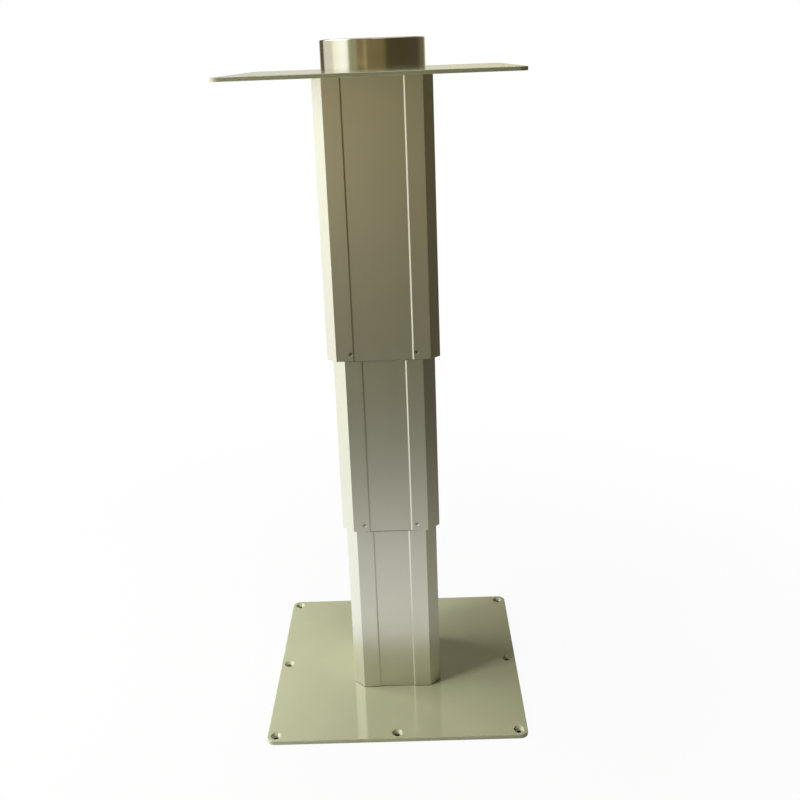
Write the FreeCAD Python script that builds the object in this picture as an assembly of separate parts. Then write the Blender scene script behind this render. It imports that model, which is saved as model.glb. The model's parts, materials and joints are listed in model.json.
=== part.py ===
import FreeCAD, Part
import math
import os
from dataclasses import dataclass

from FreeCAD import Placement, Rotation, Vector

# Telescopic table leg: three nested eight-sided tubes between two square plates, raised by two screws that
# turn together, the upper one sliding inside the lower one. Millimetres, +Z up. The origin is the centre of
# the base plate's underside, and the column stands fully extended.

# Plates
PLATE_SIDE = 300.0
BASE_THICK = 5.0
TOP_THICK = 4.0
PLATE_CORNER = 9.0
PLATE_EDGE = 0.5
MOUNT_EDGE = 10.0
MOUNT_HOLE = 6.6
MOUNT_SINK = 12.2

# Travel of each stage, and the gaps that are left when the column is fully lowered
STROKE = 200.0
STAGE_OVERLAP = 80.0
FOOT_GAP = 14.0
LIP_STEP = 11.0
HEAD_PLAY = 3.0
CROWN_PLAY = 1.5
WELL_PLAY = 4.0

# Tubes
TUBE_WALL = 2.4
LOWER_WIDTH = 106.0
LOWER_GAP = 1.6
UPPER_GAP = 3.4
LOWER_CHAMFER = 12.4
MIDDLE_CHAMFER = 13.4
TUBE_EDGE = 0.8
PANEL_DEPTH = 1.0
PANEL_SLOPE = 1.6
LOWER_PANEL = 41.8
MIDDLE_PANEL = 48.6
OUTER_PANEL = 65.6
CHANNEL_BORE = 5.5
CHANNEL_WALL = 1.8
CHANNEL_SINK = 0.6
CHANNEL_PLAY = 0.5

# Glide pads
PAD_HEIGHT = 26.0
PAD_PLAY = 0.3
PAD_INSET = 11.0
PAD_CORNER = 3.0
MOUTH_PAD_LIP = 1.6
LOWER_PAD_DROP = 2.0
MIDDLE_PAD_DROP = 10.0
PAD_SKIN = 0.5
STUD_RADIUS = 3.0
STUD_SPACING = 24.0
STUD_SETBACK = 0.3
PAD_SCREW = 2.5
PAD_SCREW_HEAD = 4.2
PAD_SCREW_SINK = 0.4
PAD_SCREW_RISE = 8.0
OUTER_SCREW_AT = 36.4
MIDDLE_SCREW_AT = 30.6

# Fits and fasteners
FIT = 0.05
RUNNING = 0.08
HEAD_RIM = 0.3
SOCKET_SHARE = 0.5
SOCKET_DEPTH = 1.2
CLIP_THICK = 1.2
CLIP_WIDTH = 2.2
CLIP_SINK = 0.7
CLIP_OPENING = 5.0
CLIP_LAND = 2.8
TUBE_SCREW_HEAD = 9.2
TUBE_SCREW_LENGTH = 20.0
SMALL_SCREW = 4.0
SMALL_SCREW_HEAD = 8.0

# Heads, nuts and the cup that carries the lower screw
LOWER_HEAD_THICK = 7.0
MIDDLE_HEAD_THICK = 8.0
SKIRT_DEPTH = 7.0
SKIRT_WALL = 8.0
SKIRT_SCREW_AT = 32.0
SKIRT_SCREW_HEAD = 5.0
SKIRT_SCREW_LENGTH = 8.0
WELL_BORE = 54.0
WELL_WALL = 3.0
WELL_FLOOR = 6.0
UPPER_NUT_BODY = 28.0
UPPER_NUT_FLANGE = 46.0
UPPER_NUT_FLANGE_THICK = 4.0
UPPER_NUT_LENGTH = 20.0
LOWER_NUT_BODY = 38.0
LOWER_NUT_FLANGE = 53.0
LOWER_NUT_FLANGE_THICK = 6.0
LOWER_NUT_LENGTH = 34.0
NUT_GAP = 1.0
CUP_WALL = 4.5
CUP_FLANGE = 66.0
CUP_FLANGE_THICK = 6.0
CUP_NECK = 31.0
CUP_LIP = 2.8

# Screws and bearings
UPPER_SCREW = 16.0
UPPER_JOURNAL = 12.0
LOWER_SCREW = 30.0
LOWER_JOURNAL = 25.0
DRIVE_HEX = 17.0
HEX_PLAY = 0.1
FOOT_HEIGHT = 22.0
FOOT_SINK = 9.0
FOOT_FLOOR = 3.0
FOOT_SPIGOT = 10.0
FOOT_SCREW = 5.0
FOOT_SCREW_HEAD = 8.5
FOOT_SCREW_LENGTH = 13.0
SCREW_TAIL = 12.0
SHAFT_FLAT = 0.8
TOP_BEARING_OUTSIDE = 28.0
TOP_BEARING_WIDTH = 8.0
TOP_BEARING_BALLS = 8
LOWER_BEARING_OUTSIDE = 37.0
LOWER_BEARING_WIDTH = 7.0
LOWER_BEARING_BALLS = 12
RING_SHARE = 0.28
SHIELD_THICK = 0.6
SHIELD_PLAY = 0.2
HOUSING_LIP = 1.5
HOUSING_WALL = 3.0
HOUSING_FLANGE = 56.0
HOUSING_FLANGE_THICK = 4.0

# Drive under the cover
GEAR_MODULE = 1.0
GEAR_TEETH = 40
PINION_TEETH = 16
PRESSURE_ANGLE = 20.0
DEDENDUM = 1.25
BACKLASH = 0.12
FLANK_POINTS = 6
GEAR_FACE = 8.0
GEAR_GAP = 1.5
GEAR_HUB = 17.0
HUB_HOLE = 24.0
PINION_OVERHANG = 0.5
MOTOR_RADIUS = 23.0
MOTOR_HEIGHT = 12.0
MOTOR_EDGE = 1.5
MOTOR_SHAFT = 5.0
MOTOR_SHAFT_SINK = 6.0
MOTOR_PILOT = 10.0
MOTOR_PILOT_DEPTH = 2.0
MOTOR_SCREW = 3.0
MOTOR_SCREW_HEAD = 5.5
MOTOR_SCREW_AT = 16.0
MOTOR_SCREW_BITE = 5.0
BRACKET_RISE = 4.5
BRACKET_THICK = 2.5
POST_RADIUS = 3.5
POST_BESIDE = 11.0
POST_ACROSS = 25.0
POST_STUD = 4.0
POST_MARGIN = 2.0
BRACKET_SCREW_BITE = 8.0
CAP_HEIGHT = 2.0
COVER_WALL = 3.0
COVER_ROOF = 2.5
COVER_EDGE = 1.5
COVER_PLAY = 1.0
MOTOR_PLAY = 2.5
LUG_RADIUS = 4.5
LUG_HEIGHT = 10.0
LUG_SINK = 1.0
LUG_COUNT = 3
LUG_FIRST = 60.0
GROMMET_HOLE = 10.0
GROMMET_FLANGE = 13.0
GROMMET_BORE = 6.5
GROMMET_LIP = 1.5
GROMMET_RISE = 8.0

UP = Vector(0, 0, 1)
DOWN = Vector(0, 0, -1)
OUT_X = Vector(1, 0, 0)
OUT_Y = Vector(0, 1, 0)
ROOT_TWO = math.sqrt(2)


@dataclass(frozen=True)
class Tube:
    """One extruded tube of the column."""
    width: float
    chamfer: float
    panel: float
    bottom: float
    top: float

    @property
    def half(self):
        """Distance from the column's axis to an outer face."""
        return self.width / 2

    @property
    def inner_half(self):
        """Distance from the column's axis to an inner face."""
        return self.half - TUBE_WALL

    @property
    def inner_chamfer(self):
        """Chamfer of the hollow that leaves the wall even at the corners."""
        return self.chamfer - TUBE_WALL * (2 - ROOT_TWO)

    @property
    def corner(self):
        """Distance from the column's axis to a chamfered corner's face."""
        return (self.width - self.chamfer) / ROOT_TWO

    @property
    def channel_at(self):
        """Distance along X and along Y from the column's axis to a screw channel."""
        return (self.corner - CHANNEL_RADIUS - CHANNEL_SINK) / ROOT_TWO

    @property
    def panel_floor(self):
        """Distance from the column's axis to the floor of a face's sunk panel."""
        return self.half - PANEL_DEPTH

    @property
    def panel_flat(self):
        """Width of the flat floor between a sunk panel's slopes."""
        return self.panel - PANEL_SLOPE

    @property
    def mouth_pad_width(self):
        """Width of a glide pad inside the tube's mouth."""
        return self.width - 2 * self.chamfer - 2 * PAD_INSET


# Sizes across that follow from those above
CHANNEL_RADIUS = CHANNEL_BORE / 2 + CHANNEL_WALL
MIDDLE_WIDTH = LOWER_WIDTH + 2 * (LOWER_GAP + TUBE_WALL)
OUTER_WIDTH = MIDDLE_WIDTH + 2 * (UPPER_GAP + TUBE_WALL)
MIDDLE_CORNER = (MIDDLE_WIDTH - MIDDLE_CHAMFER) / ROOT_TWO
OUTER_CORNER = MIDDLE_CORNER + CHANNEL_PLAY + 2 * CHANNEL_RADIUS + CHANNEL_SINK
OUTER_CHAMFER = OUTER_WIDTH - OUTER_CORNER * ROOT_TWO
LOWER_PAD_THICK = LOWER_GAP - PAD_PLAY
UPPER_PAD_THICK = UPPER_GAP - PAD_PLAY
CHANNEL_SCREW = CHANNEL_BORE - 2 * FIT
GEAR_CENTRES = GEAR_MODULE * (GEAR_TEETH + PINION_TEETH) / 2
COVER_BORE = GEAR_CENTRES + MOTOR_RADIUS + MOTOR_PLAY
COVER_RADIUS = COVER_BORE + COVER_WALL
LUG_AT = COVER_BORE - LUG_RADIUS + LUG_SINK
MOUNT_AT = PLATE_SIDE / 2 - MOUNT_EDGE
CUP_RADIUS = LOWER_BEARING_OUTSIDE / 2 + CUP_WALL

# Heights that follow from those above, from the floor up
LOWER_BOTTOM = BASE_THICK
MIDDLE_BOTTOM = LOWER_BOTTOM + FOOT_GAP + STROKE
LOWER_TOP = MIDDLE_BOTTOM + STAGE_OVERLAP
LOWER_HEAD_TOP = LOWER_TOP + LOWER_HEAD_THICK
MIDDLE_TOP = LOWER_HEAD_TOP + max(CUP_FLANGE_THICK, SKIRT_DEPTH) + HEAD_PLAY + STROKE
MIDDLE_HEAD_TOP = MIDDLE_TOP + MIDDLE_HEAD_THICK
OUTER_BOTTOM = MIDDLE_BOTTOM + LIP_STEP + STROKE
OUTER_TOP = MIDDLE_HEAD_TOP + CROWN_PLAY + HOUSING_LIP + TOP_BEARING_WIDTH + STROKE
CROWN = OUTER_TOP + TOP_THICK

# Heights around the lower screw, from its nut's floor up to its upper end
UPPER_NUT_BOTTOM = MIDDLE_HEAD_TOP - UPPER_NUT_LENGTH
LOWER_SCREW_TOP = UPPER_NUT_BOTTOM - NUT_GAP
LOWER_BEARING_TOP = LOWER_SCREW_TOP - CLIP_LAND - CLIP_THICK
LOWER_BEARING_BOTTOM = LOWER_BEARING_TOP - LOWER_BEARING_WIDTH
CUP_BOTTOM = LOWER_BEARING_BOTTOM - CLIP_THICK - CUP_LIP
LOWER_NUT_TOP = CUP_BOTTOM - STROKE - WELL_PLAY
WELL_FLOOR_TOP = LOWER_NUT_TOP - LOWER_NUT_FLANGE_THICK
LOWER_NUT_BOTTOM = LOWER_NUT_TOP - LOWER_NUT_LENGTH
LOWER_SCREW_BOTTOM = LOWER_NUT_BOTTOM - SCREW_TAIL

# Heights around the upper screw and the drive
TOP_BEARING_BOTTOM = OUTER_TOP - TOP_BEARING_WIDTH
HOUSING_BOTTOM = TOP_BEARING_BOTTOM - HOUSING_LIP
FOOT_TOP = LOWER_SCREW_TOP - FOOT_SINK
FOOT_BOTTOM = FOOT_TOP - FOOT_HEIGHT
FOOT_SEAT = FOOT_BOTTOM + FOOT_FLOOR + CAP_HEIGHT
GEAR_BOTTOM = CROWN + GEAR_GAP
GEAR_TOP = GEAR_BOTTOM + GEAR_FACE
JOURNAL_TOP = GEAR_TOP + CLIP_THICK + CLIP_LAND / 2
BRACKET_BOTTOM = GEAR_TOP + BRACKET_RISE
BRACKET_TOP = BRACKET_BOTTOM + BRACKET_THICK
MOTOR_TOP = BRACKET_TOP + MOTOR_HEIGHT
COVER_TOP = MOTOR_TOP + COVER_PLAY + COVER_ROOF

LOWER = Tube(LOWER_WIDTH, LOWER_CHAMFER, LOWER_PANEL, LOWER_BOTTOM, LOWER_TOP)
MIDDLE = Tube(MIDDLE_WIDTH, MIDDLE_CHAMFER, MIDDLE_PANEL, MIDDLE_BOTTOM, MIDDLE_TOP)
OUTER = Tube(OUTER_WIDTH, OUTER_CHAMFER, OUTER_PANEL, OUTER_BOTTOM, OUTER_TOP)


# Helpers

def save(name, *solids):
    """Write one node from one solid or a group of solids."""
    shape = solids[0] if len(solids) == 1 else Part.makeCompound(solids)
    shape.exportStep(os.path.join("parts", name + ".step"))


def cylinder(radius, bottom, top, x=0.0, y=0.0):
    """Upright cylinder between two heights."""
    return Part.makeCylinder(radius, top - bottom, Vector(x, y, bottom))


def revolved(profile):
    """Solid turned about the Z axis from (radius, height) points."""
    points = [Vector(radius, 0, height) for radius, height in profile]
    face = Part.Face(Part.makePolygon(points + points[:1]))
    return face.revolve(Vector(), UP, 360)


def polygon_bar(points, bottom, top):
    """Upright bar with the given outline."""
    corners = [Vector(x, y, bottom) for x, y in points]
    face = Part.Face(Part.makePolygon(corners + corners[:1]))
    return face.extrude(Vector(0, 0, top - bottom))


def hexagon_bar(across_flats, bottom, top):
    """Upright hexagonal bar."""
    reach = across_flats / math.sqrt(3)
    angles = [math.radians(60 * step) for step in range(6)]
    return polygon_bar([(reach * math.cos(a), reach * math.sin(a)) for a in angles], bottom, top)


def octagon_bar(width, chamfer, bottom, top):
    """Upright square bar with chamfered corners."""
    half = width / 2
    flat = half - chamfer
    quarter = [(half, -flat), (half, flat)]
    points = []
    for _ in range(4):
        points += quarter
        quarter = [(-y, x) for x, y in quarter]
    return polygon_bar(points, bottom, top)


def upright_edges(shape):
    """Edges of a shape that run along Z."""
    return [edge for edge in shape.Edges if abs(edge.tangentAt(edge.FirstParameter).z) > 0.99]


def placed(shape, x, y, z, facing=UP):
    """Copy of a shape whose own +Z is turned to face a direction."""
    copy = shape.copy()
    copy.Placement = Placement(Vector(x, y, z), Rotation(UP, facing))
    return copy


def around(shape, count=4, first=0.0):
    """Copies of a shape, evenly spaced about the column's axis."""
    copies = []
    for step in range(count):
        copy = shape.copy()
        copy.rotate(Vector(), UP, first + 360.0 * step / count)
        copies.append(copy)
    return copies


def sunk_screw(shank, head, length):
    """Countersunk screw down from its flat head at height 0, with a hex socket."""
    neck = HEAD_RIM + (head - shank) / 2
    screw = revolved([(0, 0), (head / 2, 0), (head / 2, -HEAD_RIM), (shank / 2, -neck),
                      (shank / 2, -length), (0, -length)])
    return screw.cut(hexagon_bar(head * SOCKET_SHARE, -SOCKET_DEPTH, 0))


def sunk_hole(shank, head, length):
    """Room for a countersunk screw, with a fit all round and an open mouth."""
    neck = HEAD_RIM + (head - shank) / 2
    wide = head / 2 + FIT
    narrow = shank / 2 + FIT
    return revolved([(0, HEAD_RIM), (wide, HEAD_RIM), (wide, -HEAD_RIM), (narrow, -neck),
                     (narrow, -length), (0, -length)])


def cap_screw(shank, head, length):
    """Screw with a low cylinder head that stands on height 0, with a hex socket."""
    screw = revolved([(0, CAP_HEIGHT), (head / 2, CAP_HEIGHT), (head / 2, 0), (shank / 2, 0),
                      (shank / 2, -length), (0, -length)])
    return screw.cut(hexagon_bar(head * SOCKET_SHARE, CAP_HEIGHT - SOCKET_DEPTH, CAP_HEIGHT))


def snap_clip(inner, outer, bottom):
    """Open spring ring between two radii."""
    ring = cylinder(outer, bottom, bottom + CLIP_THICK).cut(cylinder(inner, bottom, bottom + CLIP_THICK))
    slot = Part.makeBox(outer, CLIP_OPENING, CLIP_THICK, Vector(0, -CLIP_OPENING / 2, bottom))
    return ring.cut(slot)


def flat_shaft(radius, bottom, top):
    """Round shaft with one flat along it."""
    flat = radius - SHAFT_FLAT
    waste = Part.makeBox(radius, 2 * radius, top - bottom, Vector(flat, -radius, bottom))
    return cylinder(radius, bottom, top).cut(waste)


def ball_bearing(bore, outside, bottom, width, ball_count):
    """Shielded ball bearing as its inner ring, outer ring and balls."""
    section = (outside - bore) / 2
    inner_track = bore / 2 + section * RING_SHARE
    outer_track = outside / 2 - section * RING_SHARE
    lip = inner_track + SHIELD_PLAY
    top = bottom + width
    inner = revolved([(bore / 2, bottom), (inner_track, bottom), (inner_track, top), (bore / 2, top)])
    outer = revolved([(lip, bottom), (outside / 2, bottom), (outside / 2, top), (lip, top),
                      (lip, top - SHIELD_THICK), (outer_track, top - SHIELD_THICK),
                      (outer_track, bottom + SHIELD_THICK), (lip, bottom + SHIELD_THICK)])
    ball = Part.makeSphere((outer_track - inner_track) / 2 - FIT)
    ball.translate(Vector((outer_track + inner_track) / 2, 0, bottom + width / 2))
    return inner, outer, around(ball, ball_count)


def tooth_angle(base, radius):
    """Angle that an involute has turned through at a radius, none below its base circle."""
    if radius <= base:
        return 0.0
    pressure = math.acos(base / radius)
    return math.tan(pressure) - pressure


def spur_gear(teeth, bottom, top, first_tooth=0.0):
    """Involute gear whose first tooth points at an angle in radians."""
    pressure = math.radians(PRESSURE_ANGLE)
    pitch = GEAR_MODULE * teeth / 2
    base = pitch * math.cos(pressure)
    root = pitch - DEDENDUM * GEAR_MODULE
    tip = pitch + GEAR_MODULE
    half_tooth = (math.pi * GEAR_MODULE / 2 - BACKLASH) / (2 * pitch) + tooth_angle(base, pitch)
    radii = [root + (tip - root) * step / (FLANK_POINTS - 1) for step in range(FLANK_POINTS)]

    def at(radius, angle):
        return Vector(radius * math.cos(angle), radius * math.sin(angle), bottom)

    def flank(points):
        curve = Part.BSplineCurve()
        curve.interpolate(points)
        return curve.toShape()

    edges = []
    step = 2 * math.pi / teeth
    for number in range(teeth):
        middle = first_tooth + number * step
        rising = [at(r, middle - half_tooth + tooth_angle(base, r)) for r in radii]
        falling = [at(r, middle + half_tooth - tooth_angle(base, r)) for r in reversed(radii)]
        following = at(root, middle + step - half_tooth)
        edges.append(flank(rising))
        edges.append(Part.Arc(rising[-1], at(tip, middle), falling[0]).toShape())
        edges.append(flank(falling))
        edges.append(Part.Arc(falling[-1], at(root, middle + step / 2), following).toShape())
    return Part.Face(Part.Wire(edges)).extrude(Vector(0, 0, top - bottom))


# Plates

def mounting_plate(bottom, thickness, sink_facing):
    """Square plate with eight countersunk holes, at its corners and in the middle of its sides."""
    half = PLATE_SIDE / 2
    plate = Part.makeBox(PLATE_SIDE, PLATE_SIDE, thickness, Vector(-half, -half, bottom))
    plate = plate.makeFillet(PLATE_CORNER, upright_edges(plate))
    rims = [edge for edge in plate.Edges if edge.BoundBox.ZLength < PLATE_EDGE]
    plate = plate.makeChamfer(PLATE_EDGE, rims)
    depth = (MOUNT_SINK - MOUNT_HOLE) / 2
    hole = revolved([(0, 0), (MOUNT_SINK / 2, 0), (MOUNT_HOLE / 2, -depth), (MOUNT_HOLE / 2, -thickness),
                     (0, -thickness)])
    face = bottom + thickness if sink_facing == UP else bottom
    holes = []
    for x in (-MOUNT_AT, 0, MOUNT_AT):
        for y in (-MOUNT_AT, 0, MOUNT_AT):
            if x or y:
                holes.append(placed(hole, x, y, face, sink_facing))
    return plate.cut(holes)


def channel_screws(maker, tube, height, facing):
    """Four screws or screw holes at a tube's corner channels."""
    screw = maker(CHANNEL_SCREW, TUBE_SCREW_HEAD, TUBE_SCREW_LENGTH)
    return around(placed(screw, tube.channel_at, tube.channel_at, height, facing))


def make_base_plate():
    """Floor plate, with the screws that come up through it into the lower tube."""
    plate = mounting_plate(0, BASE_THICK, UP)
    save("base_plate", plate.cut(channel_screws(sunk_hole, LOWER, 0, DOWN)))
    save("base_screws", *channel_screws(sunk_screw, LOWER, 0, DOWN))


# Tubes and glide pads

def extrusion(tube, has_channels):
    """Eight-sided tube with a sunk panel on each face and, where it has them, screw channels inside."""
    solid = octagon_bar(tube.width, tube.chamfer, tube.bottom, tube.top)
    solid = solid.makeFillet(TUBE_EDGE, upright_edges(solid))
    hollow = octagon_bar(2 * tube.inner_half, tube.inner_chamfer, tube.bottom, tube.top)
    inner = tube.panel_flat / 2
    outer = inner + 2 * PANEL_SLOPE
    reach = tube.half + PANEL_DEPTH
    outline = [(reach, -outer), (reach, outer), (tube.panel_floor, inner), (tube.panel_floor, -inner)]
    panel = polygon_bar(outline, tube.bottom, tube.top)
    solid = solid.cut([hollow] + around(panel))
    if has_channels:
        where = (tube.bottom, tube.top, tube.channel_at, tube.channel_at)
        solid = solid.fuse(around(cylinder(CHANNEL_RADIUS, *where)))
        solid = solid.cut(around(cylinder(CHANNEL_BORE / 2, *where))).removeSplitter()
    return solid


def pad_block(width, thickness, inner_face, bottom):
    """Flat pad with round corners on the +X side of the column."""
    pad = Part.makeBox(thickness, width, PAD_HEIGHT, Vector(inner_face, -width / 2, bottom))
    ends = [edge for edge in pad.Edges if edge.BoundBox.XLength > thickness / 2]
    return pad.makeFillet(PAD_CORNER, ends)


def pad_screw_hole(shank, head, length):
    """Room for a pad screw, whose head at height 0 lies a little below the tube's face."""
    neck = HEAD_RIM + (head - shank) / 2
    mouth = head / 2 + FIT + PAD_SCREW_SINK
    narrow = shank / 2 + FIT
    above = PAD_SCREW_SINK + HEAD_RIM
    return revolved([(0, above), (mouth, above), (mouth, PAD_SCREW_SINK - HEAD_RIM), (narrow, -neck),
                     (narrow, -length), (0, -length)])


def pad_screws(maker, tube, offset, thickness):
    """Screws or screw holes, two to a face, that hold the pads in a tube's mouth."""
    screw = maker(PAD_SCREW, PAD_SCREW_HEAD, TUBE_WALL + thickness - PAD_SKIN - PAD_SCREW_SINK)
    height = tube.bottom + PAD_SCREW_RISE
    pairs = []
    for side in (-1, 1):
        pairs += around(placed(screw, tube.half - PAD_SCREW_SINK, side * offset, height, OUT_X))
    return pairs


def mouth_pads(tube, offset, thickness):
    """Four pads against the inner faces of a tube's mouth, with a lip below its end."""
    inner_face = tube.inner_half - thickness
    pad = pad_block(tube.mouth_pad_width, thickness, inner_face, tube.bottom - MOUTH_PAD_LIP)
    holes = pad_screws(pad_screw_hole, tube, offset, thickness)
    return [each.cut(holes) for each in around(pad)]


def pad_studs(tube, drop, radius, length):
    """Round studs, two to a face, that reach in from the sunk panels of a tube."""
    height = tube.top - drop - PAD_HEIGHT / 2
    studs = []
    for side in (-1, 1):
        centre = Vector(tube.panel_floor - length, side * STUD_SPACING / 2, height)
        studs += around(Part.makeCylinder(radius, length, centre, OUT_X))
    return studs


def top_pads(tube, drop, thickness):
    """Four pads in the sunk panels near a tube's top, each with its two studs."""
    width = tube.panel_flat - 2 * PAD_PLAY
    pad = pad_block(width, PANEL_DEPTH + thickness, tube.panel_floor, tube.top - drop - PAD_HEIGHT)
    studs = pad_studs(tube, drop, STUD_RADIUS, TUBE_WALL - PANEL_DEPTH - STUD_SETBACK)
    pads = []
    for number, each in enumerate(around(pad)):
        pads.append(each.fuse([studs[number], studs[number + 4]]).removeSplitter())
    return pads


def make_lower_tube():
    """Lowest tube, with the pads that guide the middle tube."""
    tube = extrusion(LOWER, True).cut(pad_studs(LOWER, LOWER_PAD_DROP, STUD_RADIUS + FIT, 2 * TUBE_WALL))
    save("lower_tube", tube)
    save("lower_top_pads", *top_pads(LOWER, LOWER_PAD_DROP, LOWER_PAD_THICK))


def make_middle_tube():
    """Middle tube, with the pads in its mouth and on its top."""
    tube = extrusion(MIDDLE, False)
    tube = tube.cut(pad_studs(MIDDLE, MIDDLE_PAD_DROP, STUD_RADIUS + FIT, 2 * TUBE_WALL))
    tube = tube.cut(pad_screws(pad_screw_hole, MIDDLE, MIDDLE_SCREW_AT, LOWER_PAD_THICK))
    save("middle_tube", tube.cut(skirt_screws(sunk_hole)))
    save("middle_mouth_pads", *mouth_pads(MIDDLE, MIDDLE_SCREW_AT, LOWER_PAD_THICK))
    save("middle_pad_screws", *pad_screws(sunk_screw, MIDDLE, MIDDLE_SCREW_AT, LOWER_PAD_THICK))
    save("middle_top_pads", *top_pads(MIDDLE, MIDDLE_PAD_DROP, UPPER_PAD_THICK))


def make_outer_tube():
    """Outer tube, with the pads in its mouth."""
    tube = extrusion(OUTER, True).cut(pad_screws(pad_screw_hole, OUTER, OUTER_SCREW_AT, UPPER_PAD_THICK))
    save("outer_tube", tube)
    save("outer_mouth_pads", *mouth_pads(OUTER, OUTER_SCREW_AT, UPPER_PAD_THICK))
    save("outer_pad_screws", *pad_screws(sunk_screw, OUTER, OUTER_SCREW_AT, UPPER_PAD_THICK))


# Heads, nuts and the lower screw's cup

def circle_screws(maker, across, length, height, facing, count=4, first=45.0):
    """Small screws or screw holes on a circle about the column's axis."""
    screw = maker(SMALL_SCREW, SMALL_SCREW_HEAD, length)
    return around(placed(screw, across / 2, 0, height, facing), count, first)


LOWER_NUT_CIRCLE = (LOWER_NUT_BODY + LOWER_NUT_FLANGE) / 2
UPPER_NUT_CIRCLE = (UPPER_NUT_BODY + UPPER_NUT_FLANGE) / 2
CUP_CIRCLE = (2 * CUP_RADIUS + CUP_FLANGE) / 2
HOUSING_CIRCLE = (TOP_BEARING_OUTSIDE + 2 * HOUSING_WALL + HOUSING_FLANGE) / 2


def lower_nut_screws(maker):
    """Screws or holes from the lower nut's flange into the well's floor."""
    return circle_screws(maker, LOWER_NUT_CIRCLE, LOWER_NUT_FLANGE_THICK + WELL_FLOOR, LOWER_NUT_TOP, UP)


def make_lower_head():
    """Head of the lower tube: a plate with a well for the lower nut."""
    floor = WELL_FLOOR_TOP - WELL_FLOOR
    head = octagon_bar(LOWER.width, LOWER.chamfer, LOWER_TOP, LOWER_HEAD_TOP)
    head = head.fuse(cylinder(WELL_BORE / 2 + WELL_WALL, floor, LOWER_HEAD_TOP)).removeSplitter()
    room = cylinder(WELL_BORE / 2, WELL_FLOOR_TOP, LOWER_HEAD_TOP)
    nut_hole = cylinder(LOWER_NUT_BODY / 2 + FIT, floor, WELL_FLOOR_TOP)
    screws = channel_screws(sunk_hole, LOWER, LOWER_HEAD_TOP, UP)
    save("lower_head", head.cut([room, nut_hole] + screws + lower_nut_screws(sunk_hole)))
    save("lower_head_screws", *channel_screws(sunk_screw, LOWER, LOWER_HEAD_TOP, UP))


def make_lower_nut():
    """Flanged nut that the lower screw turns in."""
    bore = LOWER_SCREW / 2 + RUNNING
    nut = revolved([(bore, LOWER_NUT_BOTTOM), (LOWER_NUT_BODY / 2, LOWER_NUT_BOTTOM),
                    (LOWER_NUT_BODY / 2, WELL_FLOOR_TOP), (LOWER_NUT_FLANGE / 2, WELL_FLOOR_TOP),
                    (LOWER_NUT_FLANGE / 2, LOWER_NUT_TOP), (bore, LOWER_NUT_TOP)])
    save("lower_nut", nut.cut(lower_nut_screws(sunk_hole)))
    save("lower_nut_screws", *lower_nut_screws(sunk_screw))


def skirt_screws(maker):
    """Flush screws or holes, two to a face, through the middle tube into its head."""
    screw = maker(SMALL_SCREW, SKIRT_SCREW_HEAD, SKIRT_SCREW_LENGTH)
    pairs = []
    for side in (-1, 1):
        place = (MIDDLE.half, side * SKIRT_SCREW_AT, MIDDLE_TOP - SKIRT_DEPTH / 2)
        pairs += around(placed(screw, *place, OUT_X))
    return pairs


def upper_nut_screws(maker):
    """Screws or holes from the upper nut's flange into the middle head."""
    return circle_screws(maker, UPPER_NUT_CIRCLE, MIDDLE_HEAD_THICK, MIDDLE_HEAD_TOP, UP, 4, 0.0)


def cup_screws(maker):
    """Screws or holes from under the cup's flange up into the middle head."""
    length = CUP_FLANGE_THICK + MIDDLE_HEAD_THICK - SOCKET_DEPTH
    return circle_screws(maker, CUP_CIRCLE, length, MIDDLE_TOP - CUP_FLANGE_THICK, DOWN)


def make_middle_head():
    """Head of the middle tube: a plate with a skirt that plugs the tube."""
    plug_width = 2 * (MIDDLE.inner_half - FIT)
    head = octagon_bar(MIDDLE.width, MIDDLE.chamfer, MIDDLE_TOP, MIDDLE_HEAD_TOP)
    skirt = octagon_bar(plug_width, MIDDLE.inner_chamfer, MIDDLE_TOP - SKIRT_DEPTH, MIDDLE_TOP)
    skirt = skirt.cut(cylinder(plug_width / 2 - SKIRT_WALL, MIDDLE_TOP - SKIRT_DEPTH, MIDDLE_TOP))
    recess_floor = MIDDLE_HEAD_TOP - UPPER_NUT_FLANGE_THICK
    recess = cylinder(UPPER_NUT_FLANGE / 2 + FIT, recess_floor, MIDDLE_HEAD_TOP)
    nut_hole = cylinder(UPPER_NUT_BODY / 2 + FIT, MIDDLE_TOP, recess_floor)
    holes = upper_nut_screws(sunk_hole) + cup_screws(sunk_hole) + skirt_screws(sunk_hole)
    save("middle_head", head.fuse(skirt).removeSplitter().cut([recess, nut_hole] + holes))
    save("middle_head_screws", *skirt_screws(sunk_screw))


def make_upper_nut():
    """Flanged nut that the upper screw turns in, sunk flush in the middle head."""
    bore = UPPER_SCREW / 2 + RUNNING
    seat = MIDDLE_HEAD_TOP - UPPER_NUT_FLANGE_THICK
    nut = revolved([(bore, UPPER_NUT_BOTTOM), (UPPER_NUT_BODY / 2, UPPER_NUT_BOTTOM),
                    (UPPER_NUT_BODY / 2, seat), (UPPER_NUT_FLANGE / 2, seat),
                    (UPPER_NUT_FLANGE / 2, MIDDLE_HEAD_TOP), (bore, MIDDLE_HEAD_TOP)])
    save("upper_nut", nut.cut(upper_nut_screws(sunk_hole)))
    save("upper_nut_screws", *upper_nut_screws(sunk_screw))


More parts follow.
